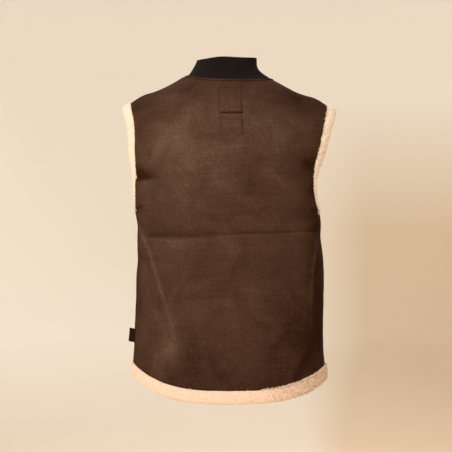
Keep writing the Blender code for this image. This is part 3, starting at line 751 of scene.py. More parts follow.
class Nodes:
    """Adds and joins the nodes of one material or node group."""

    def __init__(self, tree: bpy.types.NodeTree) -> None:
        """Starts on a node tree.

        Args:
            tree: Where the nodes go.
        """
        self.tree = tree

    def fill(self, node: bpy.types.Node, **inputs: object) -> None:
        """Sets or links a node's inputs.

        Args:
            node: The node.
            inputs: Values or sockets, named with _ for a space, or by i and the input's number.
        """
        for key, value in inputs.items():
            socket = node.inputs[int(key[1:]) if key[1:].isdigit() else key.replace("_", " ")]
            if isinstance(value, bpy.types.NodeSocket):
                self.tree.links.new(value, socket)
            else:
                socket.default_value = value

    def add(self, kind: str, settings: dict | None = None, **inputs: object) -> bpy.types.Node:
        """Adds a node.

        Args:
            kind: Its type, such as "ShaderNodeTexNoise".
            settings: Its properties.
            inputs: Values or sockets for its inputs.

        Returns:
            The node.
        """
        node = self.tree.nodes.new(kind)
        for key, value in (settings or {}).items():
            setattr(node, key, value)
        self.fill(node, **inputs)
        return node

    def math(self, operation: str, *values: object) -> bpy.types.NodeSocket:
        """Adds a Math node.

        Args:
            operation: Such as "MULTIPLY".
            values: Numbers or sockets, in order.

        Returns:
            The result's socket.
        """
        inputs = {f"i{i}": value for i, value in enumerate(values)}
        return self.add("ShaderNodeMath", {"operation": operation}, **inputs).outputs[0]

    def total(self, start: object, *terms: tuple[object, float]) -> bpy.types.NodeSocket:
        """Adds sockets, each times its weight, to a starting value.

        Args:
            start: Number or socket.
            terms: Sockets with their weights.

        Returns:
            The sum's socket.
        """
        for socket, weight in terms:
            start = self.math("MULTIPLY_ADD", socket, weight, start)
        return start

    def mix(self, share: object, one: object, other: object) -> bpy.types.NodeSocket:
        """Adds a colour mix.

        Args:
            share: How much of the second colour.
            one: The first colour.
            other: The second colour.

        Returns:
            The mixed colour's socket.
        """
        one, other = ((*end, 1.0) if isinstance(end, tuple) else end for end in (one, other))
        node = self.add("ShaderNodeMix", {"data_type": "RGBA"}, i0=share, i6=one, i7=other)
        return node.outputs[2]

    def spread(self, value: object, low: float, high: float) -> bpy.types.NodeSocket:
        """Stretches a value, held between its new ends.

        Args:
            value: Socket to stretch.
            low: What becomes 0.
            high: What becomes 1.

        Returns:
            The result's socket.
        """
        return self.add("ShaderNodeMapRange", Value=value, From_Min=low, From_Max=high).outputs[0]

    def noise(
        self, place: object, scale: object, detail: float = 2.0, **more: float
    ) -> bpy.types.NodeSocket:
        """Adds an even noise.

        Args:
            place: Socket of coordinates.
            scale: How fine it is.
            detail: How many finer layers it has.
            more: Its roughness or distortion.

        Returns:
            Socket of values around a half.
        """
        node = self.add("ShaderNodeTexNoise", Vector=place, Scale=scale, Detail=detail, **more)
        return node.outputs["Fac"]

    def place(self) -> bpy.types.NodeSocket:
        """Reads where a spot lies on its object.

        Returns:
            Socket of object coordinates.
        """
        return self.add("ShaderNodeTexCoord").outputs["Object"]

    def attribute(self, name: str) -> bpy.types.NodeSocket:
        """Reads a number that is kept for each vertex.

        Args:
            name: The attribute's name.

        Returns:
            Its socket.
        """
        return self.add("ShaderNodeAttribute", {"attribute_name": name}).outputs["Fac"]

    def shared(self, group: bpy.types.NodeTree, **inputs: object) -> bpy.types.Node:
        """Places a shared group.

        Args:
            group: The group.
            inputs: Values or sockets for its inputs.

        Returns:
            The group's node.
        """
        return self.add("ShaderNodeGroup", {"node_tree": group}, **inputs)

    def bump(self, shader: bpy.types.Node, height: object, depth: float) -> None:
        """Gives a material fine relief.

        Args:
            shader: Its Principled shader.
            height: Socket of heights.
            depth: Distance that a height of 1 stands for.
        """
        node = self.add("ShaderNodeBump", Strength=1.0, Distance=depth, Height=height)
        self.fill(shader, Normal=node.outputs[0])


class Groups:
    """Shader node groups that several materials share, each built once."""

    def __init__(self) -> None:
        """Builds the groups."""
        self.fibre = self.build_fibre()
        self.weave = self.build_weave()
        self.lumps = self.build_lumps()

    @staticmethod
    def start(
        name: str, inputs: dict[str, float], outputs: Sequence[str]
    ) -> tuple[bpy.types.NodeTree, Nodes, bpy.types.Node, bpy.types.Node]:
        """Makes an empty group that takes a place and some numbers.

        Args:
            name: The group's name.
            inputs: Names and usual values of its number inputs.
            outputs: Names of its number outputs.

        Returns:
            The group, its Nodes helper, and its input and output nodes.
        """
        group = bpy.data.node_groups.new(name, "ShaderNodeTree")
        group.interface.new_socket("Place", in_out="INPUT", socket_type="NodeSocketVector")
        for key, value in inputs.items():
            socket = group.interface.new_socket(key, in_out="INPUT", socket_type="NodeSocketFloat")
            socket.default_value = value
        for key in outputs:
            group.interface.new_socket(key, in_out="OUTPUT", socket_type="NodeSocketFloat")
        nodes = Nodes(group)
        return group, nodes, nodes.add("NodeGroupInput"), nodes.add("NodeGroupOutput")

    def build_fibre(self) -> bpy.types.NodeTree:
        """Soft mottling over broad areas, and the fine grain of short fibres.

        Returns:
            The group.
        """
        group, nodes, given, result = self.start(
            "fibre", {"Patch Scale": 9.0, "Grain Scale": 700.0}, ("Mottle", "Grain")
        )
        place = given.outputs["Place"]
        patch = nodes.noise(
            place, given.outputs["Patch Scale"], 5.0, Roughness=0.62, Distortion=0.7
        )
        grain = nodes.noise(place, given.outputs["Grain Scale"], 3.0, Roughness=0.7)
        nodes.fill(
            result, Mottle=nodes.spread(patch, 0.3, 0.7), Grain=nodes.spread(grain, 0.25, 0.75)
        )
        return group

    def build_weave(self) -> bpy.types.NodeTree:
        """Crossing threads, or ribs where the second direction is weak.

        Returns:
            The group.
        """
        group, nodes, given, result = self.start(
            "weave", {"Across": 1.0, "Along": 1.0, "Cross": 0.5}, ("Thread",)
        )
        parts = nodes.add("ShaderNodeSeparateXYZ", Vector=given.outputs["Place"])
        waves = []
        for axis, key in (("X", "Across"), ("Y", "Along")):
            turned = nodes.math("MULTIPLY", parts.outputs[axis], given.outputs[key])
            wave = nodes.math("SINE", nodes.math("MULTIPLY", turned, math.tau))
            waves.append(nodes.math("MULTIPLY_ADD", wave, 0.5, 0.5))
        crossed = nodes.math("MULTIPLY", waves[1], given.outputs["Cross"])
        kept = nodes.math("SUBTRACT", 1.0, given.outputs["Cross"])
        threads = nodes.math("ADD", nodes.math("MULTIPLY", waves[0], kept), crossed)
        nodes.fill(result, Thread=threads)
        return group

    def build_lumps(self) -> bpy.types.NodeTree:
        """Curly lumps, with painted shade in the hollows between them.

        Returns:
            The group.
        """
        group, nodes, given, result = self.start(
            "lumps", {"Lump Scale": 260.0}, ("Height", "Hollow")
        )
        place = given.outputs["Place"]
        bent = nodes.add("ShaderNodeTexNoise", Vector=place, Scale=210.0, Detail=2.0)
        moved = nodes.add(
            "ShaderNodeVectorMath",
            {"operation": "MULTIPLY_ADD"},
            i0=bent.outputs["Color"],
            i1=(0.004, 0.004, 0.004),
            i2=place,
        )
        cells = nodes.add(
            "ShaderNodeTexVoronoi",
            {"feature": "SMOOTH_F1"},
            Vector=moved.outputs[0],
            Scale=given.outputs["Lump Scale"],
            Smoothness=0.5,
        )
        height = nodes.math("SUBTRACT", 1.0, cells.outputs["Distance"])
        height = nodes.total(height, (nodes.noise(place, 1500.0), 0.35))
        # Painted shade in the hollows between the lumps
        hollow = nodes.spread(cells.outputs["Distance"], 0.40, 0.78)
        nodes.fill(result, Height=height, Hollow=hollow)
        return group


def new_material(name: str) -> tuple[bpy.types.Material, Nodes, bpy.types.Node]:
    """Starts a material.

    Args:
        name: Its name.

    Returns:
        The material, its Nodes helper and its Principled shader.
    """
    material = bpy.data.materials.new(name)
    material.use_nodes = True
    return material, Nodes(material.node_tree), material.node_tree.nodes["Principled BSDF"]


@dataclass(frozen=True)
class SuedeFinish:
    """Brushed suede: matte, mottled, with a fine nap, paler worn places, and painted light and
    shade from the tone attribute.
    """

    # The tone runs from dark through usual to worn; the dark end also shows painted shade, and the
    # worn end painted light as well as worn nap.
    dark: Colour = (0.0275, 0.0104, 0.0054)
    usual: Colour = (0.0680, 0.0350, 0.0221)
    worn: Colour = (0.145, 0.1010, 0.0695)
    # Fine streaks down the nap, and level ones
    streaks: tuple[Triple, Triple] = ((520.0, 520.0, 30.0), (12.0, 12.0, 430.0))

    def build(self, groups: Groups) -> bpy.types.Material:
        """Makes the material.

        Args:
            groups: The shared node groups.

        Returns:
            The material.
        """
        material, nodes, shader = new_material("brushed_suede")
        place = nodes.place()
        fibre = nodes.shared(groups.fibre, Place=place, Patch_Scale=13.0, Grain_Scale=750.0)
        streaks = []
        for scale in self.streaks:
            drawn = nodes.add("ShaderNodeMapping", Vector=place, Scale=scale).outputs[0]
            streaks.append(nodes.math("SUBTRACT", nodes.noise(drawn, 1.0), 0.5))
        down, level = streaks
        fleck = nodes.math("SUBTRACT", nodes.noise(place, 230.0, 3.0, Roughness=0.7), 0.5)
        grained = nodes.math("SUBTRACT", fibre.outputs["Grain"], 0.5)
        # The tone attribute carries worn nap and painted light and shade
        tone = nodes.total(
            0.25,
            (fibre.outputs["Mottle"], 0.28),
            (nodes.attribute("tone"), 0.55),
            (down, 0.14),
            (level, 0.20),
            (fleck, 0.55),
            (grained, 0.20),
        )
        low = nodes.mix(nodes.spread(tone, 0.05, 0.48), self.dark, self.usual)
        colour = nodes.mix(nodes.spread(tone, 0.48, 1.05), low, self.worn)
        nap = nodes.total(fibre.outputs["Grain"], (down, 0.5), (level, 0.6))
        nodes.bump(shader, nap, 0.00022)
        nodes.fill(shader, Base_Color=colour, Roughness=1.0, Specular_IOR_Level=0.02)
        return material


@dataclass(frozen=True)
class FleeceFinish:
    """Curly sherpa pile in warm cream, with painted shade between its curls and over its hems."""

    curl: Colour = (1.0, 0.87, 0.735)
    # Painted shade over the fleece's base colour, as much as each band asks, deeper where the pile
    # lies flat
    pile_shade: Colour = (0.850, 0.620, 0.492)
    # Painted shade in the hollows between the curls
    hollow: Colour = (0.60, 0.37, 0.225)

    def build(self, groups: Groups) -> bpy.types.Material:
        """Makes the material.

        Args:
            groups: The shared node groups.

        Returns:
            The material.
        """
        material, nodes, shader = new_material("curly_fleece")
        place = nodes.place()
        lumps = nodes.shared(groups.lumps, Place=place, Lump_Scale=260.0)
        fibre = nodes.shared(groups.fibre, Place=place, Patch_Scale=40.0, Grain_Scale=1400.0)
        stand = nodes.attribute("stand")
        shade = nodes.math("MULTIPLY", lumps.outputs["Hollow"], stand)
        shade = nodes.total(
            0.0, (shade, 0.70), (nodes.attribute("hollow"), 0.50), (fibre.outputs["Mottle"], 0.12)
        )
        # The base colour takes painted shade where the band asks for it
        base = nodes.mix(nodes.attribute("pile_shade"), self.curl, self.pile_shade)
        colour = nodes.mix(nodes.spread(shade, 0.12, 1.05), base, self.hollow)
        height = nodes.math("MULTIPLY", lumps.outputs["Height"], stand)
        nodes.bump(shader, nodes.total(height, (fibre.outputs["Grain"], 0.3)), 0.0011)
        nodes.fill(
            shader,
            Base_Color=colour,
            Roughness=1.0,
            Specular_IOR_Level=0.1,
            Sheen_Weight=0.25,
            Sheen_Roughness=0.7,
            Sheen_Tint=(1.0, 0.86, 0.74, 1.0),
        )
        return material


@dataclass(frozen=True)
class KnitFinish:
    """Black ribbed knit with a faint fuzz."""

    yarn: Colour = (0.0038, 0.0017, 0.0014)
    lit: Colour = (0.0098, 0.0046, 0.0037)

    def build(self, groups: Groups) -> bpy.types.Material:
        """Makes the material.

        Args:
            groups: The shared node groups.

        Returns:
            The material.
        """
        material, nodes, shader = new_material("ribbed_knit")
        place = nodes.add("ShaderNodeUVMap", {"uv_map": "knit"}).outputs[0]
        loops = nodes.shared(
            groups.weave, Place=place, Across=1 / 0.0012, Along=1 / 0.0016, Cross=0.55
        )
        spot = nodes.place()
        fibre = nodes.shared(groups.fibre, Place=spot, Patch_Scale=30.0, Grain_Scale=1600.0)
        light = nodes.total(
            0.0,
            (nodes.attribute("rib"), 0.35),
            (fibre.outputs["Grain"], 0.4),
            (loops.outputs["Thread"], 0.2),
        )
        height = nodes.total(loops.outputs["Thread"], (fibre.outputs["Grain"], 0.5))
        nodes.bump(shader, height, 0.00025)
        nodes.fill(
            shader,
            Base_Color=nodes.mix(light, self.yarn, self.lit),
            Roughness=0.88,
            Specular_IOR_Level=0.18,
            Sheen_Weight=0.025,
            Sheen_Roughness=0.5,
            Sheen_Tint=(0.6, 0.5, 0.45, 1.0),
        )
        return material


@dataclass(frozen=True)
class WovenFinish:
    """Plain woven cloth of one colour, for the zip's tape and the side tab."""

    name: str
    dark: Colour
    light: Colour
    pitch: float

    def build(self, groups: Groups) -> bpy.types.Material:
        """Makes the material.

        Args:
            groups: The shared node groups.

        Returns:
            The material.
        """
        material, nodes, shader = new_material(self.name)
        place = nodes.place()
        parts = nodes.add("ShaderNodeSeparateXYZ", Vector=place)
        flat = nodes.add("ShaderNodeCombineXYZ", X=parts.outputs["X"], Y=parts.outputs["Z"])
        fine = 1 / self.pitch
        weave = nodes.shared(
            groups.weave, Place=flat.outputs[0], Across=fine, Along=fine, Cross=0.5
        )
        fibre = nodes.shared(groups.fibre, Place=place, Patch_Scale=60.0, Grain_Scale=1500.0)
        share = nodes.total(weave.outputs["Thread"], (fibre.outputs["Grain"], 0.5))
        colour = nodes.mix(nodes.spread(share, 0.2, 1.4), self.dark, self.light)
        nodes.bump(shader, weave.outputs["Thread"], self.pitch * 0.3)
        nodes.fill(shader, Base_Color=colour, Roughness=0.9, Specular_IOR_Level=0.1)
        return material


@dataclass(frozen=True)
class MetalFinish:
    """Antique brass with darker hollows and fine handling marks."""

    bright: Colour = (0.50, 0.37, 0.20)
    aged: Colour = (0.17, 0.115, 0.06)

    def build(self, groups: Groups) -> bpy.types.Material:
        """Makes the material.

        Args:
            groups: The shared node groups.

        Returns:
            The material.
        """
        material, nodes, shader = new_material("antique_brass")
        fibre = nodes.shared(
            groups.fibre, Place=nodes.place(), Patch_Scale=120.0, Grain_Scale=2500.0
        )
        worn = nodes.add("ShaderNodeNewGeometry").outputs["Pointiness"]
        share = nodes.total(1.0, (fibre.outputs["Mottle"], -0.5))
        share = nodes.math("MULTIPLY", share, nodes.spread(worn, 0.42, 0.52))
        nodes.bump(shader, fibre.outputs["Grain"], 0.00003)
        nodes.fill(
            shader,
            Base_Color=nodes.mix(share, self.aged, self.bright),
            Roughness=nodes.total(0.24, (fibre.outputs["Grain"], 0.25)),
            Metallic=1.0,
        )
        return material


@dataclass(frozen=True)
class ThreadFinish:
    """Twisted sewing thread."""

    name: str
    dark: Colour
    light: Colour

    def build(self, groups: Groups) -> bpy.types.Material:
        """Makes the material.

        Args:
            groups: The shared node groups.

        Returns:
            The material.
        """
        material, nodes, shader = new_material(self.name)
        fibre = nodes.shared(
            groups.fibre, Place=nodes.place(), Patch_Scale=200.0, Grain_Scale=3000.0
        )
        colour = nodes.mix(fibre.outputs["Grain"], self.dark, self.light)
        nodes.bump(shader, fibre.outputs["Grain"], 0.0001)
        nodes.fill(shader, Base_Color=colour, Roughness=0.6, Specular_IOR_Level=0.35)
        return material


TAPE = WovenFinish("zip_tape_weave", (0.012, 0.008, 0.006), (0.04, 0.028, 0.021), 0.0008)
TAB = WovenFinish("tab_weave", (0.014, 0.0020, 0.0016), (0.044, 0.0062, 0.0046), 0.0006)
THREAD = ThreadFinish("brown_thread", (0.020, 0.009, 0.005), (0.070, 0.036, 0.022))


@dataclass
class Finishes:
    """Every finished material of the gilet."""

    groups: Groups

    def __post_init__(self) -> None:
        """Builds the materials."""
        made = self.groups
        self.suede = SuedeFinish().build(made)
        self.fleece = FleeceFinish().build(made)
        self.knit = KnitFinish().build(made)
        self.tape = TAPE.build(made)
        self.tab = TAB.build(made)
        self.metal = MetalFinish().build(made)
        self.thread = THREAD.build(made)


# Sub-assemblies


@dataclass
class Panel:
    """One panel of suede bonded to fleece, with its folds, worn nap, painted light and shade, and
    rolled seam edges.
    """

    node: str
    flat: tuple[float, float]
    area: float
    marks: tuple[Mark, ...]
    patches: tuple[Patch, ...]
    seed: float
    # Where the suede is split once more, for fine stitching
    fine: Box | None = None
    # The suede rolls down at its edge, and folds fade out beside it
    edge_reach: float = 0.0022
    edge_roll: float = 0.0007
    fold_fade: float = 0.008
    # Painted shade at the very edge, where the suede rolls down
    edge_shade: float = 0.30
    edge_shade_reach: float = 0.0025
    # The lining's lumps: how far apart, how high, and how far they start below the solid
    lump: float = 0.0075
    lump_height: float = 0.0014
    lump_sink: float = 0.0004
    # Gentle unevenness of the suede: height, size and shift of the pattern
    uneven: tuple[Triple, ...] = ((0.0010, 0.070, 0.0), (0.0005, 0.026, 3.0), (0.00015, 0.008, 5.0))
    # The strip below the collar: its rise and painted highlight, and the width, depth and painted
    # shade of the groove below it
    strip_rise: float = 0.0013
    strip_highlight: float = 0.30
    groove_width: float = 0.0012
    groove_depth: float = 0.0011
    groove_shade: float = 0.85

    def build(self, finishes: Finishes) -> bpy.types.Object:
        """Makes the panel.

        Args:
            finishes: The materials.

        Returns:
            The finished piece.
        """
        piece = cloth_copy(self.node, self.node + "_cloth")
        for finish in (finishes.suede, finishes.fleece, finishes.suede):
            piece.data.materials.append(finish)
        crease_sharp(piece)
        self.mark_layers(piece)
        subdivide(piece, 2)
        self.refine(piece)
        self.shape(piece)
        smooth_shade(piece)
        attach(piece, GARMENT)
        return piece

    def mark_layers(self, piece: bpy.types.Object) -> None:
        """Sorts the faces into suede, lining and edge, and keeps only the creases between those.

        Args:
            piece: The panel's mesh.
        """
        facing = np.sum(
            face_values(piece, "normal", 3) * outward(face_values(piece, "center", 3)), axis=1
        )
        groups = faces_between_creases(piece)
        sums = np.bincount(groups, facing)
        layers = np.full(len(groups), Layer.EDGE.value, np.int32)
        layers[groups == sums.argmax()] = Layer.SUEDE.value
        layers[groups == sums.argmin()] = Layer.LINING.value
        piece.data.polygons.foreach_set("material_index", layers)
        bm = bmesh.new()
        bm.from_mesh(piece.data)
        crease = bm.edges.layers.float["crease_edge"]
        for edge in bm.edges:
            if len({face.material_index for face in edge.link_faces}) == 1:
                edge[crease] = 0.0
        bm.to_mesh(piece.data)
        bm.free()

    def refine(self, piece: bpy.types.Object) -> None:
        """Splits the suede's faces once more, and again where fine stitching shows.

        Args:
            piece: The panel's mesh.
        """
        split(piece, "FACE", self.suede_faces(piece))
        if self.fine:
            low, high = np.array(self.fine)
            centres = face_values(piece, "center", 3)
            inside = np.all((centres > low) & (centres < high), axis=1)
            split(piece, "FACE", self.suede_faces(piece) & inside)

    def suede_faces(self, piece: bpy.types.Object) -> np.ndarray:
        """Finds the faces of the suede's outer side.

        Args:
            piece: The panel's mesh.

        Returns:
            True for each such face.
        """
        return face_values(piece, "material_index", 1) == Layer.SUEDE.value

    def shape(self, piece: bpy.types.Object) -> None:
        """Presses folds, grooves and rolled edges into the suede, and curls into the lining, and
        stores their painted light and shade.

        Args:
            piece: The panel's mesh.
        """
        points, normals = points_of(piece), normals_of(piece)
        outer, edge, inner = self.regions(piece)
        tree = near_points(points[edge])
        off = np.array([tree.find(place)[2] for place in points[outer]])
        heights, tones = self.relief(points[outer])
        heights *= np.clip(off / self.fold_fade, 0.0, 1.0)
        heights -= self.edge_roll * np.exp(-((off / self.edge_reach) ** 2))
        # Painted shade along the rolled edge
        tones -= self.edge_shade * np.exp(-((off / self.edge_shade_reach) ** 2))
        rise, shade = self.neck_strip(points[outer])
        moved = points.copy()
        moved[outer] += normals[outer] * (heights + rise)[:, None]
        tone = np.zeros(len(points))
        tone[outer] = tones + shade
        lumps = curls(points[inner], self.lump, self.seed)
        moved[inner] += normals[inner] * (self.lump_height * lumps - self.lump_sink)[:, None]
        # Painted shade between the lining's curls
        hollow = np.zeros(len(points))
        hollow[inner] = 1 - lumps
        move_points(piece, moved)
        store(piece, "tone", tone)
        store(piece, "hollow", hollow)

    def regions(self, piece: bpy.types.Object) -> tuple[np.ndarray, np.ndarray, np.ndarray]:
        """Sorts a panel's vertices.

        Args:
            piece: The panel's mesh.

        Returns:
            The suede's vertices, those of its edge, and the lining's vertices.
        """
        parts = {layer.value: np.zeros(len(piece.data.vertices), bool) for layer in Layer}
        for face, layer in zip(piece.data.polygons, face_values(piece, "material_index", 1)):
            parts[int(layer)][list(face.vertices)] = True
        suede, lining, edge = (parts[layer.value] for layer in Layer)
        return np.flatnonzero(suede), np.flatnonzero(suede & edge), np.flatnonzero(lining & ~edge)

    def relief(self, points: np.ndarray) -> tuple[np.ndarray, np.ndarray]:
        """Heights of the suede's folds and gentle unevenness, and tones of its worn patches and of
        the light and shade painted on folds and patches.

        Args:
            points: Places on the suede.

        Returns:
            How far each place stands out, and how much lighter it is.
        """
        heights, tones = np.zeros(len(points)), np.zeros(len(points))
        for height, size, shift in self.uneven:
            heights += height * rolling(points, size, self.seed + shift)
        x, z = points[:, 0], points[:, 2]
        for mark in self.marks:
            rise, tone = mark.relief(x, z)
            heights += rise
            tones += tone
        for patch in self.patches:
            tones += patch.tones(x, z)
        return heights, tones

    def neck_strip(self, points: np.ndarray) -> tuple[np.ndarray, np.ndarray]:
        """Heights of the raised strip below the collar's seam and of the groove below it, with
        painted highlight on the strip and painted shade in the groove.

        Args:
            points: Places on the suede.

        Returns:
            How far each place stands out, and how much lighter it is.
        """
        collar = collar_tree()
        near = np.ones(len(points))
        for i in np.flatnonzero(by_neck(points)):
            distance = collar.find_nearest(Vector(points[i]), NECK_REACH)[3]
            if distance is not None:
                near[i] = distance
        strip = np.exp(-(((near - STRIP / 2) / (STRIP * 0.42)) ** 4))
        groove = np.exp(-(((near - STRIP) / self.groove_width) ** 2))
        rise = self.strip_rise * strip - self.groove_depth * groove
        return rise, self.strip_highlight * strip - self.groove_shade * groove


@dataclass
class FleeceBand:
    """A strip of curly fleece along an edge, with loose curls standing off it."""

    node: str
    name: str
    flat: tuple[float, float]
    carriers: tuple[str, ...]
    curl_count: int
    seed: int
    levels: int = 3
    lump: float = 0.0052
    lump_height: float = 0.0022
    curl_length: float = 0.0035
    overlap: float = 0.0035
    puff: float = 0.0
    pile: float = 1.0
    # Painted shade over the fleece's colour, deeper where the pile lies flat
    pile_shade: float = 0.0
    # Slow swell of the strip's surface: its height and size
    swell: float = 0.0007
    swell_size: float = 0.020
    # The pile is flattened by this share, starting and fading in along X and along Y
    flattened: float = 0.72
    flat_from: tuple[float, float] = (-0.170, -0.110)
    flat_fade: tuple[float, float] = (0.110, 0.100)
    # Weights of places for a curl: beside the suede, and there where the suede lies above
    beside: float = 12.0
    under: float = 0.15
    # From this far above the strip, the suede counts as lying over it
    cover: float = 0.0012
    # How far the pile has to stand before curls grow, and how much further until all do
    sparse: tuple[float, float] = (0.30, 0.40)
    # Share of the curls beside the suede that lean over it
    leaning: float = 0.9
    # Shortest and longest curl, as a share of the usual length
    lengths: tuple[float, float] = (0.65, 1.25)
    # How far up the roots of leaning curls are, and of upright ones
    roots: tuple[float, float] = (0.0008, -0.0006)
    # How deep in shade the curls are
    curl_hollow: float = 0.12

    def standing(self, points: np.ndarray) -> np.ndarray:
        """Share by which the pile stands up; it lies flat on the wearer's left and the mid back.

        Args:
            points: Places on the fleece.

        Returns:
            A share for each place, 0 for pile lying quite flat.
        """
        (x_from, y_from), (wide, deep) = self.flat_from, self.flat_fade
        aside = np.clip((points[:, 0] - x_from) / wide, 0.0, 1.0)
        behind = np.clip((points[:, 1] - y_from) / deep, 0.0, 1.0)
        return self.pile * (1.0 - self.flattened * aside * behind)

    def build(
        self, finishes: Finishes, curl: "Curl", panels: Sequence[bpy.types.Object]
    ) -> list[bpy.types.Object]:
        """Makes the strip and its curls.

        Args:
            finishes: The materials.
            curl: The curl that is copied.
            panels: The finished suede panels.

        Returns:
            The strip and its curls.
        """
        strip = cloth_copy(self.node, self.name)
        strip.data.materials.append(finishes.fleece)
        crease_sharp(strip, SOFT_SHARP)
        subdivide(strip, self.levels)
        points, normals = points_of(strip), normals_of(strip)
        lumps = curls(points, self.lump, self.seed)
        swell = rolling(points, self.swell_size, self.seed + 2.0)
        stand = self.standing(points)
        heights = self.lump_height * stand * (lumps - 0.5) + self.swell * swell + self.puff
        move_points(strip, points + normals * heights[:, None])
        # Painted shade between the lumps, less where the pile lies flat
        store(strip, "hollow", (1 - lumps) * stand)
        self.mark_pile(strip)
        smooth_shade(strip)
        tufts = self.scatter(strip, curl, finishes, panels)
        for piece in (strip, tufts):
            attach(piece, GARMENT)
        return [strip, tufts]

    def mark_pile(self, piece: bpy.types.Object) -> None:
        """Stores how far the pile of a piece stands up and how much painted shade darkens it.

        Args:
            piece: The strip or its curls.
        """
        stand = self.standing(points_of(piece))
        store(piece, "stand", 0.25 + 0.75 * stand)
        store(piece, "pile_shade", self.pile_shade * (1.0 - 0.30 * stand))

    def scatter(
        self,
        strip: bpy.types.Object,
        curl: "Curl",
        finishes: Finishes,
        panels: Sequence[bpy.types.Object],
    ) -> bpy.types.Object:
        """Stands loose curls on the strip, most of them leaning over the suede's edge beside it.

        Args:
            strip: The shaped strip.
            curl: The curl that is copied.
            finishes: The materials.
            panels: The finished suede panels.

        Returns:
            All the strip's curls as one piece.
        """
        random = np.random.default_rng(self.seed)
        centres = face_values(strip, "center", 3)
        normals = face_values(strip, "normal", 3)
        near, off = self.edge_beside(centres, panels)
        weights = face_values(strip, "area", 1) * np.where(off < self.overlap, self.beside, 1.0)
        start, rise = self.sparse
        weights *= np.clip((self.standing(centres) - start) / rise, 0.002, 1.0)
        above = np.sum((near - centres) * normals, axis=1)
        weights *= np.where((off < self.overlap) & (above > self.cover), self.under, 1.0)
        chosen = random.choice(len(weights), self.curl_count, p=weights / weights.sum())
        centres, normals, near, off = centres[chosen], normals[chosen], near[chosen], off[chosen]
        sideways = random.normal(size=centres.shape)
        sideways -= normals * np.sum(sideways * normals, axis=1, keepdims=True)
        sideways /= np.linalg.norm(sideways, axis=1, keepdims=True)
        over = near - centres
        over -= normals * np.sum(over * normals, axis=1, keepdims=True)
        over /= np.maximum(np.linalg.norm(over, axis=1, keepdims=True), 1e-5)
        leaning = (off < self.overlap) & (random.random(self.curl_count) < self.leaning)
        lift = random.uniform(0.35, 1.0, (self.curl_count, 1))
        ways = np.where(
            leaning[:, None],
            over + sideways * 0.55 + normals * 0.45,
            normals * lift + sideways * 0.8,
        )
        scales = random.uniform(*self.lengths, self.curl_count) * self.curl_length
        scales *= 0.75 + 0.6 * self.standing(centres)
        turns = random.uniform(0.0, math.tau, self.curl_count)
        roots = centres + normals * np.where(leaning, *self.roots)[:, None]
        tufts = copies(self.name + "_curls", curl.piece, roots, ways, scales, turns)
        tufts.data.materials.append(finishes.fleece)
        store(tufts, "hollow", np.full(len(tufts.data.vertices), self.curl_hollow))
        self.mark_pile(tufts)
        smooth_shade(tufts)
        return tufts

    def edge_beside(
        self, centres: np.ndarray, panels: Sequence[bpy.types.Object]
    ) -> tuple[np.ndarray, np.ndarray]:
        """Finds the suede nearest to each place of the strip.

        Args:
            centres: Places on the strip.
            panels: The finished suede panels.

        Returns:
            The nearest place on the suede, and how far away it is.
        """
        graph = bpy.context.evaluated_depsgraph_get()
        names = [name + "_cloth" for name in self.carriers]
        trees = [BVHTree.FromObject(panel, graph) for panel in panels if panel.name in names]
        near, off = centres.copy(), np.full(len(centres), 1.0)
        for i, place in enumerate(centres):
            for tree in trees:
                spot, _, _, distance = tree.find_nearest(Vector(place), 0.012)
                if spot is not None and distance < off[i]:
                    near[i], off[i] = spot, distance
        return near, off


def copies(
    name: str,
    template: bpy.types.Object,
    places: np.ndarray,
    ways: np.ndarray,
    scales: np.ndarray,
    turns: np.ndarray,
) -> bpy.types.Object:
    """Makes one piece of many copies of a small template whose length is 1 along +Z.

    Args:
        name: The new piece's name.
        template: The template's object.
        places: Where each copy's foot goes.
        ways: Where each copy's +Z points.
        scales: Each copy's length.
        turns: How far each copy is turned about its own +Z.

    Returns:
        The joined copies.
    """
    base = points_of(template)
    faces = [list(face.vertices) for face in template.data.polygons]
    up = ways / np.linalg.norm(ways, axis=1, keepdims=True)
    helper = np.where(np.abs(up[:, 2:3]) > 0.9, (1.0, 0.0, 0.0), (0.0, 0.0, 1.0))
    first = np.cross(helper, up)
    first /= np.linalg.norm(first, axis=1, keepdims=True)
    second = np.cross(up, first)
    cosine, sine = np.cos(turns)[:, None], np.sin(turns)[:, None]
    across, deep = first * cosine + second * sine, second * cosine - first * sine
    scaled = base[None] * scales[:, None, None]
    places = (
        places[:, None]
        + scaled[..., 0:1] * across[:, None]
        + scaled[..., 1:2] * deep[:, None]
        + scaled[..., 2:3] * up[:, None]
    )
    all_faces = [
        [index + k * len(base) for index in face] for k in range(len(places)) for face in faces
    ]
    mesh = bpy.data.meshes.new(name)
    mesh.from_pydata(places.reshape(-1, 3).tolist(), [], all_faces)
    mesh.update()
    piece = bpy.data.objects.new(name, mesh)
    bpy.context.scene.collection.objects.link(piece)
    return piece


@dataclass
class Curl:
    """One hooked curl of pile, 1 long, which the strips copy."""

    sides: int = 4
    rings: int = 3
    thick: float = 0.19
    hook: float = 0.75

    def build(self) -> "Curl":
        """Makes the template: a cylinder drawn thin and bent over at its tip.

        Returns:
            Itself, with the template in piece.
        """
        cuts = [ring / self.rings for ring in range(1, self.rings)]
        self.piece = rod(self.sides, self.thick, cuts)
        self.piece.name = "curl_template"
        points = points_of(self.piece)
        share = points[:, 2].copy()
        thin = np.sqrt(np.clip(1.04 - share**3, 0.05, 1.0))
        turn = self.hook * math.pi
        angle, radius = share * turn, 1.0 / turn
        across = points[:, 0] * thin
        points[:, 1] *= thin
        points[:, 0] = radius * (1 - np.cos(angle)) + across * np.cos(angle)
        points[:, 2] = radius * np.sin(angle) - across * np.sin(angle)
        move_points(self.piece, points)
        return self

    def remove(self) -> None:
        """Takes the template out of the scene."""
        bpy.data.objects.remove(self.piece, do_unlink=True)


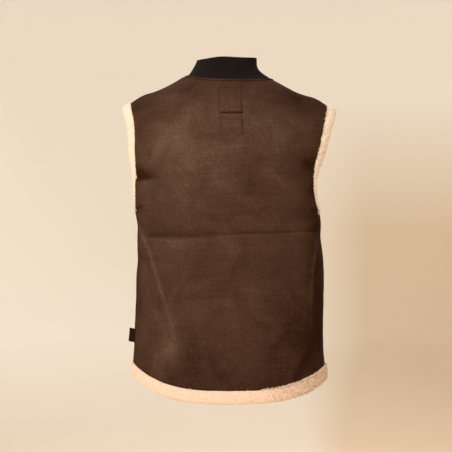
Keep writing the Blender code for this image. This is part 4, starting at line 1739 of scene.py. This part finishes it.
@dataclass
class Collar:
    """Ribbed knit stand collar, slumped on the wearer's right by the shifts at some heights."""

    pitch: float = 0.0036
    radius: float = 0.078
    centre: tuple[float, float] = (0.0041, -0.014)
    slump: tuple[tuple[float, float], ...] = (
        (-0.0120, 0.0),
        (-0.0020, 0.0060),
        (0.0035, 0.0085),
        (0.0098, 0.0060),
        (0.0180, 0.0),
        (0.0256, -0.0035),
        (0.0380, -0.0020),
        (0.0480, 0.0),
    )
    # The slump fades in from this X toward the wearer's right, and from this Y toward the back
    slump_from: tuple[float, float] = (-0.045, -0.050)
    slump_fade: float = 0.030
    rib_height: float = 0.00042
    rib_cuts: int = 4
    unevenness: float = 0.0005
    flat: tuple[float, float] = (0.47, 0.052)

    def build(self, finishes: Finishes) -> bpy.types.Object:
        """Makes the collar.

        Args:
            finishes: The materials.

        Returns:
            The finished piece.
        """
        piece = cloth_copy("collar", "collar_knit")
        piece.data.materials.append(finishes.knit)
        crease_sharp(piece, SOFT_SHARP)
        subdivide(piece, 2)
        self.cut_ribs(piece)
        points, normals = points_of(piece), normals_of(piece)
        around = self.around(points)
        right, front = self.slump_from
        beside = np.clip((right - points[:, 0]) / self.slump_fade, 0.0, 1.0)
        beside *= np.clip((points[:, 1] - front) / self.slump_fade, 0.0, 1.0)
        levels, shifts = np.array(self.slump).T
        points[:, 0] -= beside * np.interp(points[:, 2], levels, shifts)
        rib = 0.5 + 0.5 * np.cos(around / self.pitch * math.tau)
        uneven = rolling(points, 0.030, 4.0)
        heights = self.rib_height * (rib - 0.5) * 2 + self.unevenness * uneven
        move_points(piece, points + normals * heights[:, None])
        store(piece, "rib", rib)
        self.lay_out(piece, around, points[:, 2])
        smooth_shade(piece, math.radians(60))
        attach(piece, GARMENT)
        return piece

    def around(self, points: np.ndarray) -> np.ndarray:
        """Measures round the neck, as the knit is stretched.

        Args:
            points: Places on the collar.

        Returns:
            Distance of each place from the middle of the front.
        """
        angle = np.arctan2(points[:, 1] - self.centre[1], points[:, 0] - self.centre[0])
        return np.mod(angle + math.pi / 2, math.tau) * self.radius

    def cut_ribs(self, piece: bpy.types.Object) -> None:
        """Splits the collar round the neck, finely enough for ribs.

        Args:
            piece: The collar's mesh.
        """
        points = points_of(piece)
        around = self.around(points)
        ends = np.zeros(len(piece.data.edges) * 2, np.int32)
        piece.data.edges.foreach_get("vertices", ends)
        one, other = ends.reshape(-1, 2).T
        run = np.abs(around[one] - around[other])
        length = np.linalg.norm(points[one] - points[other], axis=1)
        split(piece, "EDGE", (run > 0.45 * length) & (run < 0.05), self.rib_cuts)

    def lay_out(self, piece: bpy.types.Object, around: np.ndarray, up: np.ndarray) -> None:
        """Writes a UV map of distances round and up the collar.

        Args:
            piece: The collar's mesh.
            around: Distance round the neck of each vertex.
            up: Height of each vertex.
        """
        layer = piece.data.uv_layers.new(name="knit")
        corners = np.zeros(len(piece.data.loops), np.int32)
        piece.data.loops.foreach_get("vertex_index", corners)
        layer.data.foreach_set(
            "uv", np.stack([around[corners], up[corners]], axis=1).astype(np.float32).ravel()
        )


@dataclass(frozen=True)
class Seam:
    """A row of stitches along a line in the plane of the back or the front."""

    facing: Facing
    path: tuple[tuple[float, float], ...]


@dataclass
class Stitching:
    """Rows of thread stitches lying on the suede."""

    name: str
    seams: tuple[Seam, ...]
    pitch: float = 0.0036
    length: float = 0.0029
    radius: float = 0.00030
    sides: int = 6
    # Thickness of a stitch's ends, as a share, and how far it lies up, in its own radius
    ends: float = 0.45
    raised: float = 0.35

    def build(self, panels: Sequence[bpy.types.Object], finishes: Finishes) -> bpy.types.Object:
        """Makes the stitches.

        Args:
            panels: The pieces that carry them.
            finishes: The materials.

        Returns:
            All the stitches as one piece.
        """
        template = self.template()
        graph = bpy.context.evaluated_depsgraph_get()
        trees = [BVHTree.FromObject(panel, graph) for panel in panels]
        paths = [self.cast(seam, trees) for seam in self.seams]
        paths.append(neck_path(panels, STRIP))
        feet, ways = [], []
        for path in paths:
            line = self.on_cloth(path, trees)
            for one, other in zip(line, line[1:]):
                if 0 < (other - one).length < self.pitch * 2:
                    feet.append(one)
                    ways.append(other - one)
        count = len(feet)
        piece = copies(
            self.name,
            template,
            np.array(feet),
            np.array(ways),
            np.full(count, self.length),
            np.zeros(count),
        )
        bpy.data.objects.remove(template, do_unlink=True)
        piece.data.materials.append(finishes.thread)
        smooth_shade(piece)
        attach(piece, GARMENT)
        return piece

    def template(self) -> bpy.types.Object:
        """Makes one stitch, 1 long: a round thread whose two ends dive into the cloth.

        Returns:
            The stitch.
        """
        piece = rod(self.sides, self.radius / self.length, (0.2, 0.5, 0.8))
        points = points_of(piece)
        ends = (points[:, 2] < 0.01) | (points[:, 2] > 0.99)
        points[ends, :2] *= self.ends
        move_points(piece, points)
        return piece

    def cast(self, seam: Seam, trees: Sequence[BVHTree]) -> list[Vector]:
        """Drops a seam's line onto the suede from behind or in front.

        Args:
            seam: The seam.
            trees: Search trees of the panels.

        Returns:
            Places on the suede.
        """
        way = seam.facing.value
        line = []
        for x, z in evenly(np.array(seam.path), self.pitch):
            hits = [tree.ray_cast((x, way, z), (0.0, -way, 0.0)) for tree in trees]
            hits = [hit for hit in hits if hit[0] is not None]
            if hits:
                line.append(min(hits, key=lambda hit: hit[3])[0])
        return line

    def on_cloth(self, path: Sequence[Vector], trees: Sequence[BVHTree]) -> list[Vector]:
        """Spaces places evenly along a path and lays them on the suede.

        Args:
            path: Places near the suede.
            trees: Search trees of the panels.

        Returns:
            The places, each just above the suede.
        """
        if len(path) < 2:
            return []
        line = []
        for place in evenly(np.array([list(place) for place in path]), self.pitch):
            found = [tree.find_nearest(Vector(place)) for tree in trees]
            spot, normal, _, _ = min(found, key=lambda hit: hit[3])
            line.append(spot + normal * self.radius * self.raised)
        return line


@dataclass
class Zip:
    """Separate metal teeth on woven tapes, with a slider and its pull."""

    pitch: float = 0.0029
    tooth: Triple = (0.0036, 0.0017, 0.0015)
    # Bare tape above the first tooth and below the last
    end_gap: float = 0.002
    # How far teeth reach past the middle, and how deep they lie in the solid's row
    past: float = 0.0008
    deep: float = 0.0010
    # Place of a tooth's waist, and widths of the waist and head, as shares
    waist_at: float = 0.3
    waist: float = 0.62
    head: float = 0.8
    bevel: float = 0.0003

    def build(self, finishes: Finishes) -> list[bpy.types.Object]:
        """Makes the zip.

        Args:
            finishes: The materials.

        Returns:
            The new pieces.
        """
        made = []
        template = self.tooth_template()
        for word, side in (("left", 1.0), ("right", -1.0)):
            made.append(self.teeth(word, side, template, finishes))
            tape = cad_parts["zip_tape_" + word]
            tape.data.materials.clear()
            tape.data.materials.append(finishes.tape)
        bpy.data.objects.remove(template, do_unlink=True)
        for node in ("zip_slider", "zip_pull"):
            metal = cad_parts[node]
            metal.data.materials.clear()
            metal.data.materials.append(finishes.metal)
            self.round_edges(metal)
        return made

    def round_edges(self, piece: bpy.types.Object) -> None:
        """Rounds a metal piece's edges.

        Args:
            piece: The slider or the pull.
        """
        weld = piece.modifiers.new("weld", "WELD")
        weld.merge_threshold = MERGE
        bevel = piece.modifiers.new("round", "BEVEL")
        bevel.width = self.bevel
        bevel.segments = 3
        bevel.limit_method = "ANGLE"
        bevel.angle_limit = math.radians(30)

    def tooth_template(self) -> bpy.types.Object:
        """Makes one tooth: a block with a waist behind its narrower head, 1 wide along +Z.

        Returns:
            The tooth.
        """
        wide, tall, deep = self.tooth
        bpy.ops.object.select_all(action="DESELECT")
        bpy.ops.mesh.primitive_cube_add(size=1.0, location=(0.0, 0.0, 0.5))
        piece = bpy.context.object
        piece.scale = (tall / wide, deep / wide, 1.0)
        bpy.ops.object.transform_apply(location=True, rotation=False, scale=True)
        cut_across((self.waist_at, 0.55))
        points = points_of(piece)
        waist = np.abs(points[:, 2] - self.waist_at) < 0.02
        points[waist, 0] *= self.waist
        points[points[:, 2] > 0.98, :2] *= self.head
        move_points(piece, points)
        return piece

    def line(self, word: str) -> np.ndarray:
        """Reads the outer line of the teeth from their solid, top to bottom.

        Args:
            word: left or right.

        Returns:
            Places down the middle of the front.
        """
        rows: dict[float, float] = {}
        for x, y, z in points_of(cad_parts["zip_teeth_" + word]):
            if abs(x) < 0.001:
                key = round(z, 4)
                rows[key] = min(y, rows.get(key, 1.0))
        line: list[Triple] = []
        for z in sorted(rows, reverse=True):
            if not line or line[-1][2] - z > 0.006:
                line.append((0.0, rows[z], z))
        return np.array(line)

    def teeth(
        self, word: str, side: float, template: bpy.types.Object, finishes: Finishes
    ) -> bpy.types.Object:
        """Sets one side's teeth down the front.

        Args:
            word: left or right.
            side: 1 on the wearer's left, -1 on the right.
            template: The tooth that is copied.
            finishes: The materials.

        Returns:
            The row of teeth, which replaces its solid.
        """
        line = self.line(word)
        start = self.end_gap + (self.pitch / 2 if side > 0 else 0.0)
        marks = np.arange(start, distances(line)[-1] - self.end_gap, self.pitch)
        places = along(line, marks)
        places[:, 0] = -side * self.past
        places[:, 1] += self.deep
        ways = np.tile((side, 0.0, 0.0), (len(places), 1))
        piece = copies(
            "zip_teeth_row_" + word,
            template,
            places,
            ways,
            np.full(len(places), self.tooth[0]),
            np.full(len(places), math.pi / 2),
        )
        piece.data.materials.append(finishes.metal)
        smooth_shade(piece, math.radians(35))
        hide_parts("zip_teeth_" + word)
        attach(piece, GARMENT)
        return piece


@dataclass
class SideTab:
    """Small folded tab sewn into the side seam, blank."""

    def build(self, finishes: Finishes) -> bpy.types.Object:
        """Makes the tab.

        Args:
            finishes: The materials.

        Returns:
            The finished piece.
        """
        piece = cloth_copy("side_tab", "side_tab_cloth")
        piece.data.materials.append(finishes.tab)
        crease_sharp(piece)
        subdivide(piece, 3)
        points, normals = points_of(piece), normals_of(piece)
        heights = 0.00025 * rolling(points, 0.006, 8.0)
        move_points(piece, points + normals * heights[:, None])
        smooth_shade(piece, math.radians(45))
        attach(piece, GARMENT)
        return piece


@dataclass
class Studio:
    """Camera at the photograph's angle, soft lights, and a pale floor that curves up all round."""

    camera_place: Triple = (0.0065, 2.6, -0.3226)
    aim: Triple = (0.0, 0.0, -0.33)
    lens: float = 95.0
    floor_z: float = -1.45
    radius: float = 4.4
    wall_top: float = 3.0
    pale: Colour = (0.920, 0.890, 0.845)
    shaded: Colour = (0.71, 0.59, 0.455)

    def build(self) -> None:
        """Makes the camera, lights, floor and backdrop."""
        data = bpy.data.cameras.new("camera")
        data.lens = self.lens
        data.sensor_width = 36.0
        camera = bpy.data.objects.new("camera", data)
        camera.location = self.camera_place
        camera.rotation_euler = (math.radians(90), 0.0, math.radians(180))
        bpy.context.scene.collection.objects.link(camera)
        bpy.context.scene.camera = camera
        self.backdrop()
        self.light("key", (1.6, 2.9, 0.9), 1.6, 78.0, (1.0, 0.95, 0.89))
        self.light("fill", (-2.2, 2.3, 0.1), 1.8, 6.0, (1.0, 0.92, 0.82))
        self.light("front_key", (-1.2, -3.0, 1.0), 1.6, 56.0, (1.0, 0.95, 0.89))
        self.light("front_fill", (1.9, -2.7, 0.1), 1.8, 12.0, (1.0, 0.92, 0.82))
        self.light("above", (0.0, 0.0, 2.6), 2.4, 15.0, (1.0, 0.97, 0.93))
        world = bpy.data.worlds.new("studio")
        world.use_nodes = True
        background = world.node_tree.nodes["Background"]
        background.inputs["Color"].default_value = (1.0, 0.94, 0.84, 1.0)
        background.inputs["Strength"].default_value = 0.62
        bpy.context.scene.world = world
        bpy.context.scene.view_settings.view_transform = "Standard"

    def light(self, name: str, place: Triple, size: float, power: float, colour: Colour) -> None:
        """Adds a soft square light aimed at the gilet.

        Args:
            name: Its name.
            place: Where it stands.
            size: Length of its side.
            power: Watts.
            colour: Its colour.
        """
        data = bpy.data.lights.new(name, "AREA")
        data.size = size
        data.energy = power
        data.color = colour
        lamp = bpy.data.objects.new(name, data)
        lamp.location = place
        lamp.visible_camera = False
        way = Vector(self.aim) - Vector(place)
        lamp.rotation_euler = way.to_track_quat("-Z", "Y").to_euler()
        bpy.context.scene.collection.objects.link(lamp)

    def backdrop(self) -> None:
        """Makes a round floor, and extrudes its edge into a wall with a rounded corner."""
        bpy.ops.object.select_all(action="DESELECT")
        bpy.ops.mesh.primitive_circle_add(
            vertices=96, radius=self.radius, fill_type="NGON", location=(0.0, 0.0, self.floor_z)
        )
        floor = bpy.context.object
        floor.name = "pale_floor"
        bpy.ops.object.transform_apply(location=True, rotation=False, scale=False)
        bpy.ops.object.mode_set(mode="EDIT")
        bpy.ops.mesh.select_mode(type="EDGE")
        bpy.ops.mesh.select_all(action="SELECT")
        bpy.ops.mesh.extrude_edges_move(
            TRANSFORM_OT_translate={"value": (0.0, 0.0, self.wall_top - self.floor_z)}
        )
        bpy.ops.object.mode_set(mode="OBJECT")
        bevel = floor.modifiers.new("corner", "BEVEL")
        bevel.width = 1.0
        bevel.segments = 16
        bevel.limit_method = "ANGLE"
        bpy.ops.object.modifier_apply(modifier=bevel.name)
        smooth_shade(floor)
        floor.data.materials.append(self.paper())

    def paper(self) -> bpy.types.Material:
        """Makes the backdrop's pale matte material, with painted shade low on one side and on the
        floor.

        Returns:
            The material.
        """
        material, nodes, shader = new_material("pale_paper")
        place = nodes.place()
        parts = nodes.add("ShaderNodeSeparateXYZ", Vector=place)
        aside, down = (nodes.math("MULTIPLY", parts.outputs[axis], -1.0) for axis in "XZ")
        corner = nodes.math(
            "MULTIPLY", nodes.spread(aside, 0.40, 0.80), nodes.spread(down, -0.40, 0.35)
        )
        ground = nodes.spread(down, 0.95, 1.45)
        share = nodes.total(0.0, (corner, 0.9), (nodes.noise(place, 1.3), 0.08), (ground, 0.55))
        colour = nodes.mix(share, self.pale, self.shaded)
        nodes.fill(shader, Base_Color=colour, Roughness=0.95, Specular_IOR_Level=0.1)
        return material


def neck_path(panels: Sequence[bpy.types.Object], off: float) -> list[Vector]:
    """Places on the panels at a given distance from the collar, round the neck.

    Args:
        panels: The finished panels.
        off: The distance.

    Returns:
        Places from the front, round the wearer's left and the back, to the front again.
    """
    nearness, turn, least_out = 0.0012, 0.05, 0.02
    collar = collar_tree()
    rows: dict[int, list[np.ndarray]] = {}
    for panel in panels:
        points = points_of(panel)
        high = points[by_neck(points)]
        for place, way in zip(high, outward(high)):
            distance = collar.find_nearest(Vector(place), off * 2)[3]
            if distance is None or abs(distance - off) > nearness or place @ way < least_out:
                continue
            angle = math.atan2(place[1] - SEAM_Y, place[0]) + math.pi / 2
            rows.setdefault(int((angle % math.tau) / turn), []).append(place)
    return [Vector(np.mean(rows[key], axis=0)) for key in sorted(rows) if len(rows[key]) > 1]


def by_neck(points: np.ndarray) -> np.ndarray:
    """Finds the places that can lie on the strip below the collar.

    Args:
        points: Places on a panel.

    Returns:
        True for each such place.
    """
    return (points[:, 2] > NECK_LOW) & (np.abs(points[:, 0]) < NECK_WIDE)


def collar_tree() -> BVHTree:
    """Makes a search tree of the collar's solid.

    Returns:
        The tree.
    """
    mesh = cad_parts["collar"].data
    places = [vertex.co for vertex in mesh.vertices]
    return BVHTree.FromPolygons(places, [list(face.vertices) for face in mesh.polygons])


def report(pieces: Sequence[bpy.types.Object]) -> None:
    """Logs each finished piece.

    Args:
        pieces: The pieces.
    """
    for piece in pieces:
        triangles = sum(len(face.vertices) - 2 for face in piece.data.polygons)
        LOG.info("%s: %d triangles", piece.name, triangles)


PANELS = (
    Panel(
        "back_panel",
        (0.56, 0.70),
        0.325,
        BACK_MARKS + RECTANGLE_MARKS,
        BACK_PATCHES,
        1.0,
        fine=((-0.036, 0.0, -0.134), (0.028, 0.2, -0.022)),
    ),
    Panel("front_left", (0.30, 0.68), 0.155, FRONT_MARKS, FRONT_PATCHES, 2.0),
    Panel("front_right", (0.30, 0.68), 0.155, FRONT_MARKS, FRONT_PATCHES, 3.0),
)
# Fleece bands: the hems get full painted shade over their colour, the left armhole some, the right
# none
BANDS = (
    FleeceBand(
        "hem_band_back", "hem_fleece_back", (0.50, 0.040), ("back_panel",), 2900, 11, pile_shade=1.0
    ),
    *(
        FleeceBand(
            "hem_band_" + front,
            "hem_fleece_" + front,
            (0.26, 0.040),
            (front,),
            1450,
            seed,
            pile_shade=1.0,
        )
        for front, seed in (("front_left", 12), ("front_right", 13))
    ),
    *(
        FleeceBand(
            "armhole_band_" + side,
            "armhole_fleece_" + side,
            (0.56, 0.028),
            ("back_panel", "front_" + side),
            2000,
            seed,
            puff=0.0009,
            pile=pile,
            pile_shade=pile_shade,
        )
        for side, seed, pile, pile_shade in (("left", 14, 0.8, 0.6), ("right", 15, 0.60, 0.0))
    ),
)
SEAMS = (
    # Sides of the two plain stitched rectangles on the upper back
    Seam(Facing.BACK, ((0.0213, -0.0290), (0.0195, -0.0843))),
    Seam(Facing.BACK, ((-0.0262, -0.0290), (-0.0272, -0.0843))),
    Seam(Facing.BACK, ((0.0178, -0.0990), (0.0165, -0.1262))),
    Seam(Facing.BACK, ((-0.0272, -0.0990), (-0.0280, -0.1262))),
    # Beside the zip
    *(Seam(Facing.FRONT, ((x, -0.086), (x, -0.640))) for x in ZIP_STITCH_X),
)


def main() -> None:
    """Builds the sub-assemblies in order."""
    logging.basicConfig(level=logging.INFO, format="%(name)s: %(message)s")
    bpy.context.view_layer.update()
    Studio().build()
    finishes = Finishes(Groups())
    panels = [panel.build(finishes) for panel in PANELS]
    report(panels)
    curl = Curl().build()
    for band in BANDS:
        report(band.build(finishes, curl, panels))
    curl.remove()
    report([Collar().build(finishes)])
    report([Stitching("stitches", SEAMS).build(panels, finishes)])
    report(Zip().build(finishes))
    report([SideTab().build(finishes)])


if __name__ == "__main__":
    main()
